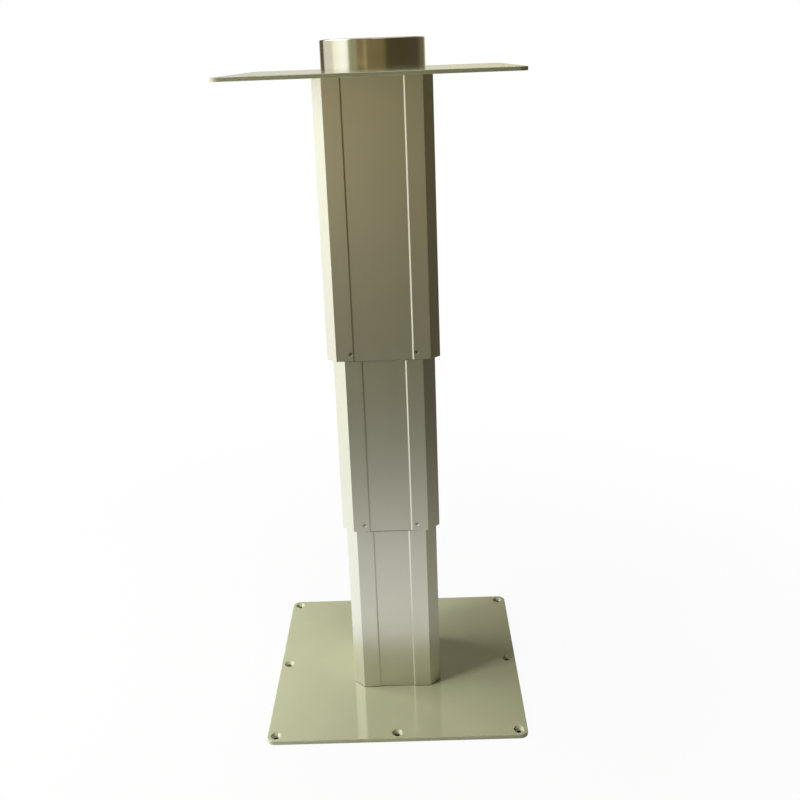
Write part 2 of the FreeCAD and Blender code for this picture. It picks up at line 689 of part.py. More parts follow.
def make_bearing_cup():
    """Cup under the middle head that holds the lower screw's bearing, with its spring ring."""
    seat = LOWER_BEARING_OUTSIDE / 2 + FIT
    flange_bottom = MIDDLE_TOP - CUP_FLANGE_THICK
    cup = revolved([(seat, CUP_BOTTOM), (CUP_RADIUS, CUP_BOTTOM), (CUP_RADIUS, flange_bottom),
                    (CUP_FLANGE / 2, flange_bottom), (CUP_FLANGE / 2, MIDDLE_TOP), (CUP_NECK / 2, MIDDLE_TOP),
                    (CUP_NECK / 2, LOWER_BEARING_TOP), (seat, LOWER_BEARING_TOP)])
    clip_bottom = LOWER_BEARING_BOTTOM - CLIP_THICK
    groove = cylinder(seat + CLIP_SINK + FIT, clip_bottom, LOWER_BEARING_BOTTOM)
    save("bearing_cup", cup.cut([groove] + cup_screws(sunk_hole)))
    save("cup_screws", *cup_screws(sunk_screw))
    save("lower_bearing_clip", snap_clip(seat + CLIP_SINK - CLIP_WIDTH, seat + CLIP_SINK, clip_bottom))


# Screws

def make_lower_screw():
    """Hollow lower screw with a hex bore, carried by its bearing."""
    journal = LOWER_JOURNAL / 2 - FIT
    clip_seat = journal - CLIP_SINK
    screw = revolved([(0, LOWER_SCREW_BOTTOM), (LOWER_SCREW / 2, LOWER_SCREW_BOTTOM),
                      (LOWER_SCREW / 2, LOWER_BEARING_BOTTOM), (journal, LOWER_BEARING_BOTTOM),
                      (journal, LOWER_BEARING_TOP), (clip_seat, LOWER_BEARING_TOP),
                      (clip_seat, LOWER_BEARING_TOP + CLIP_THICK), (journal, LOWER_BEARING_TOP + CLIP_THICK),
                      (journal, LOWER_SCREW_TOP), (0, LOWER_SCREW_TOP)])
    save("lower_screw", screw.cut(hexagon_bar(DRIVE_HEX, LOWER_SCREW_BOTTOM, LOWER_SCREW_TOP)))
    save("lower_screw_clip", snap_clip(clip_seat + FIT, clip_seat + CLIP_WIDTH, LOWER_BEARING_TOP))
    inner, outer, balls = ball_bearing(LOWER_JOURNAL, LOWER_BEARING_OUTSIDE, LOWER_BEARING_BOTTOM,
                                       LOWER_BEARING_WIDTH, LOWER_BEARING_BALLS)
    save("lower_bearing_inner", inner)
    save("lower_bearing_outer", outer)
    save("lower_bearing_balls", *balls)


def make_upper_screw():
    """Upper screw: a journal with a flat for the gear above, a spigot for the foot below."""
    journal = UPPER_JOURNAL / 2 - FIT
    spigot = FOOT_SPIGOT / 2
    clip_seat = journal - CLIP_SINK
    screw = cylinder(UPPER_SCREW / 2, FOOT_TOP, TOP_BEARING_BOTTOM)
    screw = screw.fuse([cylinder(journal, TOP_BEARING_BOTTOM, GEAR_BOTTOM),
                        flat_shaft(journal, GEAR_BOTTOM, JOURNAL_TOP),
                        flat_shaft(spigot, FOOT_SEAT, FOOT_TOP)])
    clip_room = cylinder(UPPER_JOURNAL, GEAR_TOP, GEAR_TOP + CLIP_THICK)
    clip_room = clip_room.cut(cylinder(clip_seat, GEAR_TOP, GEAR_TOP + CLIP_THICK))
    tapped = cylinder(FOOT_SCREW / 2 + FIT, FOOT_SEAT, FOOT_SEAT + FOOT_SCREW_LENGTH)
    save("upper_screw", screw.cut([clip_room, tapped]).removeSplitter())
    save("gear_clip", snap_clip(clip_seat + FIT, clip_seat + CLIP_WIDTH, GEAR_TOP))
    inner, outer, balls = ball_bearing(UPPER_JOURNAL, TOP_BEARING_OUTSIDE, TOP_BEARING_BOTTOM,
                                       TOP_BEARING_WIDTH, TOP_BEARING_BALLS)
    save("top_bearing_inner", inner)
    save("top_bearing_outer", outer)
    save("top_bearing_balls", *balls)


def make_drive_foot():
    """Hex foot on the upper screw that slides in the lower screw's bore and turns it."""
    spigot = FOOT_SPIGOT / 2 + FIT
    foot = hexagon_bar(DRIVE_HEX - 2 * HEX_PLAY, FOOT_BOTTOM, FOOT_TOP)
    socket = flat_shaft(spigot, FOOT_SEAT, FOOT_TOP)
    screw_hole = cylinder(FOOT_SCREW / 2 + FIT, FOOT_BOTTOM, FOOT_SEAT)
    head_room = cylinder(FOOT_SCREW_HEAD / 2 + FIT, FOOT_BOTTOM, FOOT_BOTTOM + CAP_HEIGHT)
    screw = cap_screw(FOOT_SCREW, FOOT_SCREW_HEAD, FOOT_SCREW_LENGTH)
    save("drive_foot", foot.cut([socket, screw_hole, head_room]))
    save("foot_screw", placed(screw, 0, 0, FOOT_BOTTOM + CAP_HEIGHT, DOWN))


# Top plate and what hangs under it

def housing_screws(maker):
    """Screws or holes from under the housing's flange up into the top plate."""
    flange_bottom = OUTER_TOP - HOUSING_FLANGE_THICK
    length = HOUSING_FLANGE_THICK + TOP_THICK - PLATE_EDGE
    return circle_screws(maker, HOUSING_CIRCLE, length, flange_bottom, DOWN)


def cover_screws(maker):
    """Screws or holes from under the top plate up into the cover's lugs."""
    length = TOP_THICK + LUG_HEIGHT - COVER_PLAY
    return circle_screws(maker, 2 * LUG_AT, length, OUTER_TOP, DOWN, LUG_COUNT, LUG_FIRST)


def post_places():
    """Places of the four posts around the motor."""
    columns = (GEAR_CENTRES - POST_BESIDE, GEAR_CENTRES + POST_BESIDE)
    return [(x, y) for x in columns for y in (-POST_ACROSS, POST_ACROSS)]


def make_top_plate():
    """Plate under the table top, with the screws that hold it on the outer tube."""
    plate = mounting_plate(OUTER_TOP, TOP_THICK, DOWN)
    holes = [cylinder(HUB_HOLE / 2, OUTER_TOP, CROWN)]
    holes += channel_screws(sunk_hole, OUTER, CROWN, UP) + housing_screws(sunk_hole) + cover_screws(sunk_hole)
    holes += [cylinder(POST_STUD / 2 + FIT, OUTER_TOP, CROWN, x, y) for x, y in post_places()]
    save("top_plate", plate.cut(holes))
    save("top_plate_screws", *channel_screws(sunk_screw, OUTER, CROWN, UP))


def make_bearing_housing():
    """Flanged ring that holds the upper screw's bearing against the top plate."""
    seat = TOP_BEARING_OUTSIDE / 2 + FIT
    wall = seat + HOUSING_WALL
    lip = TOP_BEARING_OUTSIDE / 2 - HOUSING_WALL
    flange_bottom = OUTER_TOP - HOUSING_FLANGE_THICK
    housing = revolved([(lip, HOUSING_BOTTOM), (wall, HOUSING_BOTTOM), (wall, flange_bottom),
                        (HOUSING_FLANGE / 2, flange_bottom), (HOUSING_FLANGE / 2, OUTER_TOP),
                        (seat, OUTER_TOP), (seat, TOP_BEARING_BOTTOM), (lip, TOP_BEARING_BOTTOM)])
    save("top_bearing_housing", housing.cut(housing_screws(sunk_hole)))
    save("housing_screws", *housing_screws(sunk_screw))


# Drive

def make_drive_gear():
    """Gear on the upper screw, its hub standing on the bearing through the top plate."""
    gear = spur_gear(GEAR_TEETH, GEAR_BOTTOM, GEAR_TOP)
    gear = gear.fuse(cylinder(GEAR_HUB / 2, OUTER_TOP, GEAR_BOTTOM)).removeSplitter()
    bore = UPPER_JOURNAL / 2
    hub_bore = cylinder(bore, OUTER_TOP, GEAR_BOTTOM)
    save("drive_gear", gear.cut([hub_bore, flat_shaft(bore, GEAR_BOTTOM, GEAR_TOP)]))


def make_motor_pinion():
    """Pinion that meshes with the drive gear, and the motor shaft that carries it."""
    bottom = GEAR_BOTTOM - PINION_OVERHANG
    pinion = spur_gear(PINION_TEETH, bottom, GEAR_TOP + PINION_OVERHANG, math.pi + math.pi / PINION_TEETH)
    pinion = pinion.cut(cylinder(MOTOR_SHAFT / 2 + FIT, bottom, GEAR_TOP + PINION_OVERHANG))
    pinion.translate(Vector(GEAR_CENTRES, 0, 0))
    save("motor_pinion", pinion)
    save("motor_shaft", cylinder(MOTOR_SHAFT / 2, bottom, BRACKET_TOP + MOTOR_SHAFT_SINK, GEAR_CENTRES))


def motor_screws(maker):
    """Two screws or holes from under the bracket up into the motor."""
    screw = maker(MOTOR_SCREW, MOTOR_SCREW_HEAD, BRACKET_THICK + MOTOR_SCREW_BITE)
    return [placed(screw, GEAR_CENTRES, side * MOTOR_SCREW_AT, BRACKET_BOTTOM, DOWN) for side in (-1, 1)]


def make_drive_motor():
    """Flat motor that stands on its bracket, with a pilot boss and a bore for its shaft."""
    pilot_bottom = BRACKET_TOP - MOTOR_PILOT_DEPTH
    shaft_bore = MOTOR_SHAFT / 2 + RUNNING
    shaft_end = BRACKET_TOP + MOTOR_SHAFT_SINK + RUNNING
    motor = revolved([(shaft_bore, pilot_bottom), (MOTOR_PILOT / 2, pilot_bottom),
                      (MOTOR_PILOT / 2, BRACKET_TOP), (MOTOR_RADIUS - MOTOR_EDGE, BRACKET_TOP),
                      (MOTOR_RADIUS, BRACKET_TOP + MOTOR_EDGE),
                      (MOTOR_RADIUS, MOTOR_TOP - MOTOR_EDGE), (MOTOR_RADIUS - MOTOR_EDGE, MOTOR_TOP),
                      (0, MOTOR_TOP), (0, shaft_end), (shaft_bore, shaft_end)])
    motor.translate(Vector(GEAR_CENTRES, 0, 0))
    save("drive_motor", motor.cut(motor_screws(sunk_hole)))
    save("motor_screws", *motor_screws(sunk_screw))


def make_motor_bracket():
    """Bracket plate on four posts, with its screws."""
    half_x = POST_BESIDE + POST_RADIUS + POST_MARGIN
    half_y = POST_ACROSS + POST_RADIUS + POST_MARGIN
    corner = Vector(GEAR_CENTRES - half_x, -half_y, BRACKET_BOTTOM)
    bracket = Part.makeBox(2 * half_x, 2 * half_y, BRACKET_THICK, corner)
    bracket = bracket.makeFillet(POST_RADIUS + POST_MARGIN, upright_edges(bracket))
    holes = motor_screws(sunk_hole)
    holes.append(cylinder(MOTOR_PILOT / 2 + FIT, BRACKET_BOTTOM, BRACKET_TOP, GEAR_CENTRES))
    posts = []
    screws = []
    for x, y in post_places():
        tapped = cylinder(MOTOR_SCREW / 2 + FIT, BRACKET_BOTTOM - BRACKET_SCREW_BITE, BRACKET_TOP, x, y)
        post = cylinder(POST_RADIUS, CROWN, BRACKET_BOTTOM, x, y)
        stud = cylinder(POST_STUD / 2, OUTER_TOP + PLATE_EDGE, CROWN, x, y)
        screw = cap_screw(MOTOR_SCREW, MOTOR_SCREW_HEAD, BRACKET_THICK + BRACKET_SCREW_BITE)
        holes.append(tapped)
        posts.append(post.fuse(stud).cut(tapped))
        screws.append(placed(screw, x, y, BRACKET_TOP))
    save("motor_bracket", bracket.cut(holes))
    save("bracket_posts", *posts)
    save("bracket_screws", *screws)


def make_drive_cover():
    """Turned cup over the drive, with lugs inside its wall and a hole for the cable at the back."""
    cover = cylinder(COVER_RADIUS, CROWN, COVER_TOP)
    rim = [edge for edge in cover.Edges if edge.BoundBox.ZMin > COVER_TOP - COVER_EDGE]
    cover = cover.makeFillet(COVER_EDGE, rim)
    cover = cover.cut(cylinder(COVER_BORE, CROWN, COVER_TOP - COVER_ROOF))
    lug = cylinder(LUG_RADIUS, CROWN, CROWN + LUG_HEIGHT, LUG_AT)
    cover = cover.fuse(around(lug, LUG_COUNT, LUG_FIRST)).removeSplitter()
    cable_hole = Part.makeCylinder(GROMMET_HOLE / 2, COVER_RADIUS, Vector(0, 0, CROWN + GROMMET_RISE), OUT_Y)
    save("drive_cover", cover.cut([cable_hole] + cover_screws(sunk_hole)))
    save("cover_screws", *cover_screws(sunk_screw))


def make_cable_grommet():
    """Rubber ring in the cover's cable hole, with a lip on each side of the wall."""
    flange = GROMMET_FLANGE / 2
    neck = GROMMET_HOLE / 2 - FIT
    inner_face = math.sqrt(COVER_BORE ** 2 - flange ** 2)
    profile = [(GROMMET_BORE / 2, inner_face - GROMMET_LIP), (flange, inner_face - GROMMET_LIP),
               (flange, inner_face), (neck, inner_face), (neck, COVER_RADIUS), (flange, COVER_RADIUS),
               (flange, COVER_RADIUS + GROMMET_LIP), (GROMMET_BORE / 2, COVER_RADIUS + GROMMET_LIP)]
    save("cable_grommet", placed(revolved(profile), 0, 0, CROWN + GROMMET_RISE, OUT_Y))


def main():
    """Build every piece of the leg, from the floor up."""
    os.makedirs("parts", exist_ok=True)
    make_base_plate()
    make_lower_tube()
    make_lower_head()
    make_lower_nut()
    make_middle_tube()
    make_middle_head()
    make_upper_nut()
    make_bearing_cup()
    make_lower_screw()
    make_upper_screw()
    make_drive_foot()
    make_outer_tube()
    make_top_plate()
    make_bearing_housing()
    make_drive_gear()
    make_motor_pinion()
    make_drive_motor()
    make_motor_bracket()
    make_drive_cover()
    make_cable_grommet()


main()
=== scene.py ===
"""Looks of a three-stage telescopic table leg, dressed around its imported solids. Metres, +Z up."""

import json
import logging
import math
from collections.abc import Callable, Sequence
from dataclasses import dataclass
from enum import Enum, StrEnum, auto
from typing import ClassVar

import bmesh
import bpy
from mathutils import Matrix, Vector


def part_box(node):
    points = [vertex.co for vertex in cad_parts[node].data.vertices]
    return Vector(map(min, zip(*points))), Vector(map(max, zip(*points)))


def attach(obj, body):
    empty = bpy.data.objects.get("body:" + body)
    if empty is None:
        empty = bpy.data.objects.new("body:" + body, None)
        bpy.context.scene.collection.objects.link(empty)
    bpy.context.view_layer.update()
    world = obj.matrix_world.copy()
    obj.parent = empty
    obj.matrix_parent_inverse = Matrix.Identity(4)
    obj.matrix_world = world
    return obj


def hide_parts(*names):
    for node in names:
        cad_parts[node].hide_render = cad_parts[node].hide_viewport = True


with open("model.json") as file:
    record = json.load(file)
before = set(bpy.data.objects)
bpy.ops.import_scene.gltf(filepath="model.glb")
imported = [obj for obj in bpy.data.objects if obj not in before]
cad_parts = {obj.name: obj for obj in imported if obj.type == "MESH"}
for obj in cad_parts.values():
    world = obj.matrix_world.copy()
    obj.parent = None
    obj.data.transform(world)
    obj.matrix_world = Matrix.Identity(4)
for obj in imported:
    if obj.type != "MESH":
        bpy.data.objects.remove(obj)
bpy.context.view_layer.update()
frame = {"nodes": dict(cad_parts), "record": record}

MM = 0.001
SHARP = math.radians(28)
HALF_TURN = 180.0
NOISE_SPAN = (0.3, 0.7)
UNIT_SPAN = (0.0, 1.0)
LOG = logging.getLogger("table_leg")

Colour = tuple[float, float, float]
Span = tuple[float, float]
Shades = tuple[tuple[float, Colour], ...]
Names = tuple[str, ...]
Material = bpy.types.Material
Piece = bpy.types.Object
Socket = bpy.types.NodeSocket


class Body(StrEnum):
    """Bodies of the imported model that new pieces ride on."""

    BASE = auto()
    MIDDLE = auto()
    OUTER = auto()
    LOWER_SCREW = auto()
    UPPER_SCREW = auto()


class Slot(StrEnum):
    """Material slots of the record, one for each finish."""

    PAINTED_PLATE = auto()
    ANODISED_TUBE = auto()
    TURNED_STEEL = auto()
    SCREW_STEEL = auto()
    SPINDLE_STEEL = auto()
    MACHINED_ALUMINIUM = auto()
    GLIDE_PLASTIC = auto()
    NUT_BRONZE = auto()
    MOTOR_PAINT = auto()
    BLACK_RUBBER = auto()


SLOT_OF = {part["node"]: Slot(part["material_slot"]) for part in frame["record"]["subparts"]}
Finishes = dict[Slot, Material]


def shown(made: Piece) -> Piece:
    """Object, added to the scene."""
    bpy.context.scene.collection.objects.link(made)
    return made


class NodeTree:
    """Node tree of any kind, with short calls that add nodes to it."""

    def __init__(self, tree: bpy.types.NodeTree) -> None:
        """Take the tree that the nodes go into."""
        self.nodes, self.links = tree.nodes, tree.links

    def add(self, kind: str, sockets: dict[str | int, object], **settings: str) -> Socket:
        """Add a node.

        Args:
            kind: Type of the node.
            sockets: What goes into its inputs, by name or number: an output, a list of outputs or a value.
            settings: The node's own settings.

        Returns:
            The node's first output.
        """
        node = self.nodes.new(kind)
        for setting, choice in settings.items():
            setattr(node, setting, choice)
        for key, source in sockets.items():
            if isinstance(source, (Socket, list)):
                for each in source if isinstance(source, list) else [source]:
                    self.links.new(each, node.inputs[key])
            else:
                node.inputs[key].default_value = source
        return node.outputs[0]

    def sum(self, operation: str, first: object, second: object) -> Socket:
        """Result of one operation on two numbers."""
        return self.add("ShaderNodeMath", {0: first, 1: second}, operation=operation)


class ShaderTree(NodeTree):
    """Node tree of one material, with short calls for the nodes that the finishes share."""

    MIX_INPUTS = (0, 6, 7)
    MIX_RESULT = 2

    def __init__(self, name: str, constants: dict[str, float]) -> None:
        """Start a material with one shader.

        Args:
            name: Name of the material.
            constants: Values that are the same all over the surface, by the shader's socket names.
        """
        self.material = bpy.data.materials.new(name)
        self.material.use_nodes = True
        super().__init__(self.material.node_tree)
        self.shader = self.nodes["Principled BSDF"]
        self.place = self.nodes.new("ShaderNodeTexCoord").outputs["Object"]
        for socket, value in constants.items():
            self.shader.inputs[socket].default_value = value

    def drive(self, socket: str, source: Socket) -> None:
        """Feed one of the shader's sockets from a pattern."""
        self.links.new(source, self.shader.inputs[socket])

    def show(self, shader: Socket) -> None:
        """Put another shader on the surface."""
        self.links.new(shader, self.nodes["Material Output"].inputs["Surface"])

    def mapped(self, scale: Sequence[float]) -> Socket:
        """Object coordinates, stretched along X, Y and Z."""
        return self.add("ShaderNodeMapping", {"Vector": self.place, "Scale": scale})

    def split(self, vector: Socket) -> bpy.types.NodeOutputs:
        """The three numbers of a vector, by the names of the axes."""
        return self.add("ShaderNodeSeparateXYZ", {0: vector}).node.outputs

    def height(self) -> Socket:
        """Height above the floor."""
        return self.split(self.place)["Z"]

    def reach(self, vector: Socket) -> Socket:
        """Distance from the origin."""
        return self.add("ShaderNodeVectorMath", {0: vector}, operation="LENGTH").node.outputs["Value"]

    def turned(self, scale: float) -> Socket:
        """Coordinates that only change with the radius from the Z axis and the height, as a lathe's marks do.

        Args:
            scale: Stretch of both.

        Returns:
            A vector of stretched radius and height.
        """
        radius = self.reach(self.mapped((scale, scale, 0)))
        height = self.split(self.mapped((1, 1, scale)))["Z"]
        return self.add("ShaderNodeCombineXYZ", {"X": radius, "Z": height})

    def noise(self, vector: Socket, detail: float, scale: float = 1.0) -> Socket:
        """Noise from 0 to 1, with so many finer layers on top and so many bumps to a unit."""
        return self.add("ShaderNodeTexNoise", {"Vector": vector, "Scale": scale, "Detail": detail})

    def spread(self, value: Socket, source: Span, target: Span = UNIT_SPAN) -> Socket:
        """Value moved from one range to another, and held at its ends."""
        ends = zip(("From Min", "From Max", "To Min", "To Max"), (*source, *target))
        return self.add("ShaderNodeMapRange", {"Value": value, **dict(ends)})

    def shades(self, value: Socket, stops: Sequence[tuple[float, Colour]]) -> Socket:
        """Colour read from a ramp.

        Args:
            value: Place on the ramp, from 0 to 1.
            stops: Places on the ramp with their colours.

        Returns:
            The colour.
        """
        ramp = self.add("ShaderNodeValToRGB", {"Fac": value})
        stop_list = ramp.node.color_ramp.elements
        while len(stop_list) < len(stops):
            stop_list.new(1.0)
        for stop, (place, colour) in zip(stop_list, stops):
            stop.position = place
            stop.color = (*colour, 1.0)
        return ramp

    def mixed(self, share: Socket, first: Socket, second: Socket) -> Socket:
        """Colour between two others, by the share of the second."""
        sockets = dict(zip(self.MIX_INPUTS, (share, first, second)))
        return self.add("ShaderNodeMix", sockets, data_type="RGBA").node.outputs[self.MIX_RESULT]

    def relief(self, height: Socket, depth: float) -> None:
        """Raise the surface by a pattern, on top of any relief that it has.

        Args:
            height: Pattern from 0 to 1.
            depth: Height of the pattern, in metres.
        """
        bump = self.add("ShaderNodeBump", {"Distance": depth, "Height": height})
        normal = self.shader.inputs["Normal"]
        if normal.is_linked:
            self.links.new(normal.links[0].from_socket, bump.node.inputs["Normal"])
        self.links.new(bump, normal)


def scaled(colour: Colour, share: float) -> Colour:
    """Colour made lighter or darker."""
    return tuple(min(1.0, part * share) for part in colour)


def shade_stops(colour: Colour, swing: float) -> list[tuple[float, Colour]]:
    """Ramp stops from a darker to a lighter shade of one colour."""
    return [(place, scaled(colour, share)) for place, share in zip(NOISE_SPAN, (1 - swing, 1 + swing))]


@dataclass(frozen=True)
class AnodisedAluminium:
    """Satin anodised extrusion, with fine die lines along its length and faint handling marks."""

    slot: Slot = Slot.ANODISED_TUBE
    colour: Colour = (0.66, 0.65, 0.585)
    swing: float = 0.02
    metallic: float = 0.92
    anisotropy: float = 0.35
    roughness: Span = (0.33, 0.39)
    line_scale: tuple[float, float, float] = (2600.0, 2600.0, 2.0)
    line_detail: float = 3.0
    line_depth: float = 0.004 * MM
    cloud_scale: float = 9.0
    cloud_detail: float = 4.0
    # Painted contact shadow: its dark colour, and the heights over which it fades out above the plate.
    painted_shadow_colour: Colour = (0.12, 0.11, 0.07)
    painted_shadow_band: Span = (5.4 * MM, 5.9 * MM)

    def material(self) -> Material:
        """Make the tubes' finish, with a painted contact shadow: a dark band where the lowest one stands on
        its plate.

        Returns:
            The finish as a material.
        """
        metal = {"Metallic": self.metallic, "Anisotropic": self.anisotropy}
        tree = ShaderTree("satin_anodised_aluminium", metal)
        lines = tree.noise(tree.mapped(self.line_scale), self.line_detail)
        clouds = tree.noise(tree.place, self.cloud_detail, self.cloud_scale)
        unshaded_tint, painted_shadow_tint = (tree.shades(clouds, shade_stops(colour, self.swing))
                         for colour in (self.colour, self.painted_shadow_colour))
        # Painted shade where the lowest tube meets the plate, darkest at the foot and fading out upwards.
        painted_shadow_share = tree.spread(tree.height(), self.painted_shadow_band, (1.0, 0.0))
        tree.drive("Base Color", tree.mixed(painted_shadow_share, unshaded_tint, painted_shadow_tint))
        tree.drive("Roughness", tree.spread(lines, NOISE_SPAN, self.roughness))
        tree.relief(lines, self.line_depth)
        return tree.material


@dataclass(frozen=True)
class StovedPaint:
    """Glossy stoved paint with slight orange peel, smudges and dust specks."""

    slot: Slot = Slot.PAINTED_PLATE
    colour: Colour = (0.445, 0.45, 0.295)
    swing: float = 0.035
    ior: float = 1.52
    gloss: float = 0.55
    roughness: Span = (0.09, 0.16)
    peel_scale: float = 420.0
    peel_detail: float = 1.0
    peel_depth: float = 0.008 * MM
    smudge_scale: float = 14.0
    smudge_detail: float = 5.0
    smudge_span: Span = (0.35, 0.7)
    speck_scale: float = 260.0
    speck_detail: float = 0.0
    speck_span: Span = (0.74, 0.8)

    def material(self) -> Material:
        """Make the finish of the two plates.

        Returns:
            The finish as a material.
        """
        tree = ShaderTree("stoved_plate_paint", {"IOR": self.ior, "Specular IOR Level": self.gloss})
        peel = tree.noise(tree.place, self.peel_detail, self.peel_scale)
        smudges = tree.noise(tree.place, self.smudge_detail, self.smudge_scale)
        specks = tree.noise(tree.place, self.speck_detail, self.speck_scale)
        tree.drive("Base Color", tree.shades(smudges, shade_stops(self.colour, self.swing)))
        tree.drive("Roughness", tree.spread(smudges, self.smudge_span, self.roughness))
        tree.relief(peel, self.peel_depth)
        tree.relief(tree.spread(specks, self.speck_span), self.peel_depth)
        return tree.material


@dataclass(frozen=True)
class TurnedSteel:
    """Bright turned steel, with the lathe's fine rings round it."""

    slot: Slot = Slot.TURNED_STEEL
    colour: Colour = (0.56, 0.53, 0.455)
    swing: float = 0.04
    roughness: Span = (0.08, 0.15)
    anisotropy: float = 0.6
    ring_scale: float = 2600.0
    ring_depth: float = 0.006 * MM
    band_scale: float = 60.0
    detail: float = 2.0

    def material(self) -> Material:
        """Make the drive cover's finish.

        Returns:
            The finish as a material.
        """
        tree = ShaderTree("turned_cover_steel", {"Metallic": 1.0, "Anisotropic": self.anisotropy})
        rings = tree.noise(tree.turned(self.ring_scale), self.detail)
        bands = tree.noise(tree.turned(self.band_scale), self.detail)
        tree.drive("Tangent", tree.add("ShaderNodeTangent", {}, direction_type="RADIAL", axis="Z"))
        tree.drive("Base Color", tree.shades(bands, shade_stops(self.colour, self.swing)))
        tree.drive("Roughness", tree.spread(rings, NOISE_SPAN, self.roughness))
        tree.relief(rings, self.ring_depth)
        return tree.material


@dataclass(frozen=True)
class GrainedFinish:
    """Finish with a fine grain and broad stains, which is a metal unless its fields say otherwise."""

    slot: Slot
    name: str
    colour: Colour
    roughness: Span
    grain_scale: float
    grain_depth: float
    swing: float = 0.06
    metallic: float = 1.0
    grain_detail: float = 4.0
    stain_size: float = 12.0
    stain_detail: float = 3.0

    def material(self) -> Material:
        """Make the finish, with stains that are so many times as broad as the grain.

        Returns:
            The finish as a material.
        """
        tree = ShaderTree(self.name, {"Metallic": self.metallic})
        grain = tree.noise(tree.place, self.grain_detail, self.grain_scale)
        stains = tree.noise(tree.place, self.stain_detail, self.grain_scale / self.stain_size)
        tree.drive("Base Color", tree.shades(stains, shade_stops(self.colour, self.swing)))
        tree.drive("Roughness", tree.spread(grain, NOISE_SPAN, self.roughness))
        tree.relief(grain, self.grain_depth)
        return tree.material


@dataclass(frozen=True)
class MouldedPolymer(GrainedFinish):
    """Moulded plastic, rubber or enamel with a soft spark-eroded texture."""

    swing: float = 0.08
    metallic: float = 0.0
    grain_detail: float = 2.0
    stain_size: float = 20.0


FINISHES = (
    AnodisedAluminium(),
    StovedPaint(),
    TurnedSteel(),
    GrainedFinish(Slot.SCREW_STEEL, "zinc_plated_screw", colour=(0.50, 0.49, 0.45),
                  roughness=(0.24, 0.36), grain_scale=1500.0, grain_depth=0.008 * MM),
    GrainedFinish(Slot.SPINDLE_STEEL, "oiled_spindle_steel", colour=(0.42, 0.41, 0.39),
                  roughness=(0.18, 0.30), grain_scale=1100.0, grain_depth=0.006 * MM),
    GrainedFinish(Slot.MACHINED_ALUMINIUM, "milled_aluminium", colour=(0.66, 0.66, 0.66),
                  roughness=(0.28, 0.42), grain_scale=800.0, grain_depth=0.012 * MM),
    GrainedFinish(Slot.NUT_BRONZE, "cast_nut_bronze", colour=(0.52, 0.34, 0.13),
                  roughness=(0.26, 0.42), grain_scale=700.0, grain_depth=0.015 * MM),
    MouldedPolymer(Slot.GLIDE_PLASTIC, "grey_glide_plastic", colour=(0.31, 0.30, 0.26),
                   roughness=(0.42, 0.56), grain_scale=900.0, grain_depth=0.015 * MM),
    MouldedPolymer(Slot.MOTOR_PAINT, "black_motor_enamel", colour=(0.030, 0.031, 0.034),
                   roughness=(0.30, 0.46), grain_scale=600.0, grain_depth=0.02 * MM),
    MouldedPolymer(Slot.BLACK_RUBBER, "black_grommet_rubber", colour=(0.022, 0.022, 0.022),
                   roughness=(0.55, 0.72), grain_scale=1200.0, grain_depth=0.02 * MM),
)


class GeometryTree(NodeTree):
    """Geometry node tree with named inputs, and short calls for the nodes that it is made of."""

    def __init__(self, name: str, inputs: dict[str, str]) -> None:
        """Start a tree.

        Args:
            name: Name of the tree.
            inputs: Names of its inputs with their socket types.
        """
        self.group = bpy.data.node_groups.new(name, "GeometryNodeTree")
        self.group.interface.new_socket("Geometry", in_out="OUTPUT", socket_type="NodeSocketGeometry")
        for label, kind in inputs.items():
            self.group.interface.new_socket(label, in_out="INPUT", socket_type=kind)
        super().__init__(self.group)
        self.inputs = self.nodes.new("NodeGroupInput").outputs
        self.output = self.nodes.new("NodeGroupOutput").inputs["Geometry"]

    def vector(self, x: object, y: object, z: object) -> Socket:
        """Vector of three numbers."""
        return self.add("ShaderNodeCombineXYZ", {"X": x, "Y": y, "Z": z})

    def moved(self, shape: Socket, height: object) -> Socket:
        """Shape moved along Z."""
        way = self.vector(0, 0, height)
        return self.add("GeometryNodeTransform", {"Geometry": shape, "Translation": way})

    def cylinder(self, sides: int, radius: object, depth: object, top: object) -> Socket:
        """Upright cylinder that hangs down from a height."""
        mesh = self.add("GeometryNodeMeshCylinder", {"Vertices": sides, "Radius": radius, "Depth": depth})
        return self.moved(mesh, self.sum("SUBTRACT", top, self.sum("DIVIDE", depth, 2.0)))

    def finish(self, shape: Socket) -> None:
        """End the tree with a plain mesh in the material that it was given.

        Args:
            shape: What the tree has made.
        """
        whole = self.add("GeometryNodeRealizeInstances", {"Geometry": shape})
        material = self.inputs["Material"]
        dressed = self.add("GeometryNodeSetMaterial", {"Geometry": whole, "Material": material})
        self.links.new(dressed, self.output)

    def piece(self, name: str, values: dict[str, object]) -> Piece:
        """Run the tree and keep its result as a plain mesh.

        Args:
            name: Name of the new piece.
            values: What each named input is set to.

        Returns:
            The new piece, at the origin.
        """
        made = shown(bpy.data.objects.new(name, bpy.data.meshes.new(name + "_seed")))
        modifier = made.modifiers.new("build", "NODES")
        modifier.node_group = self.group
        for item in self.group.interface.items_tree:
            if item.in_out == "INPUT":
                modifier[item.identifier] = values[item.name]
        graph = bpy.context.evaluated_depsgraph_get()
        mesh = bpy.data.meshes.new_from_object(made.evaluated_get(graph))
        mesh.name = name
        mesh.shade_smooth()
        mesh.set_sharp_from_angle(angle=SHARP)
        made.modifiers.clear()
        made.data = mesh
        return made


class Drive(StrEnum):
    """Recess for the driver in a screw's head."""

    HEX = auto()
    CROSS = auto()


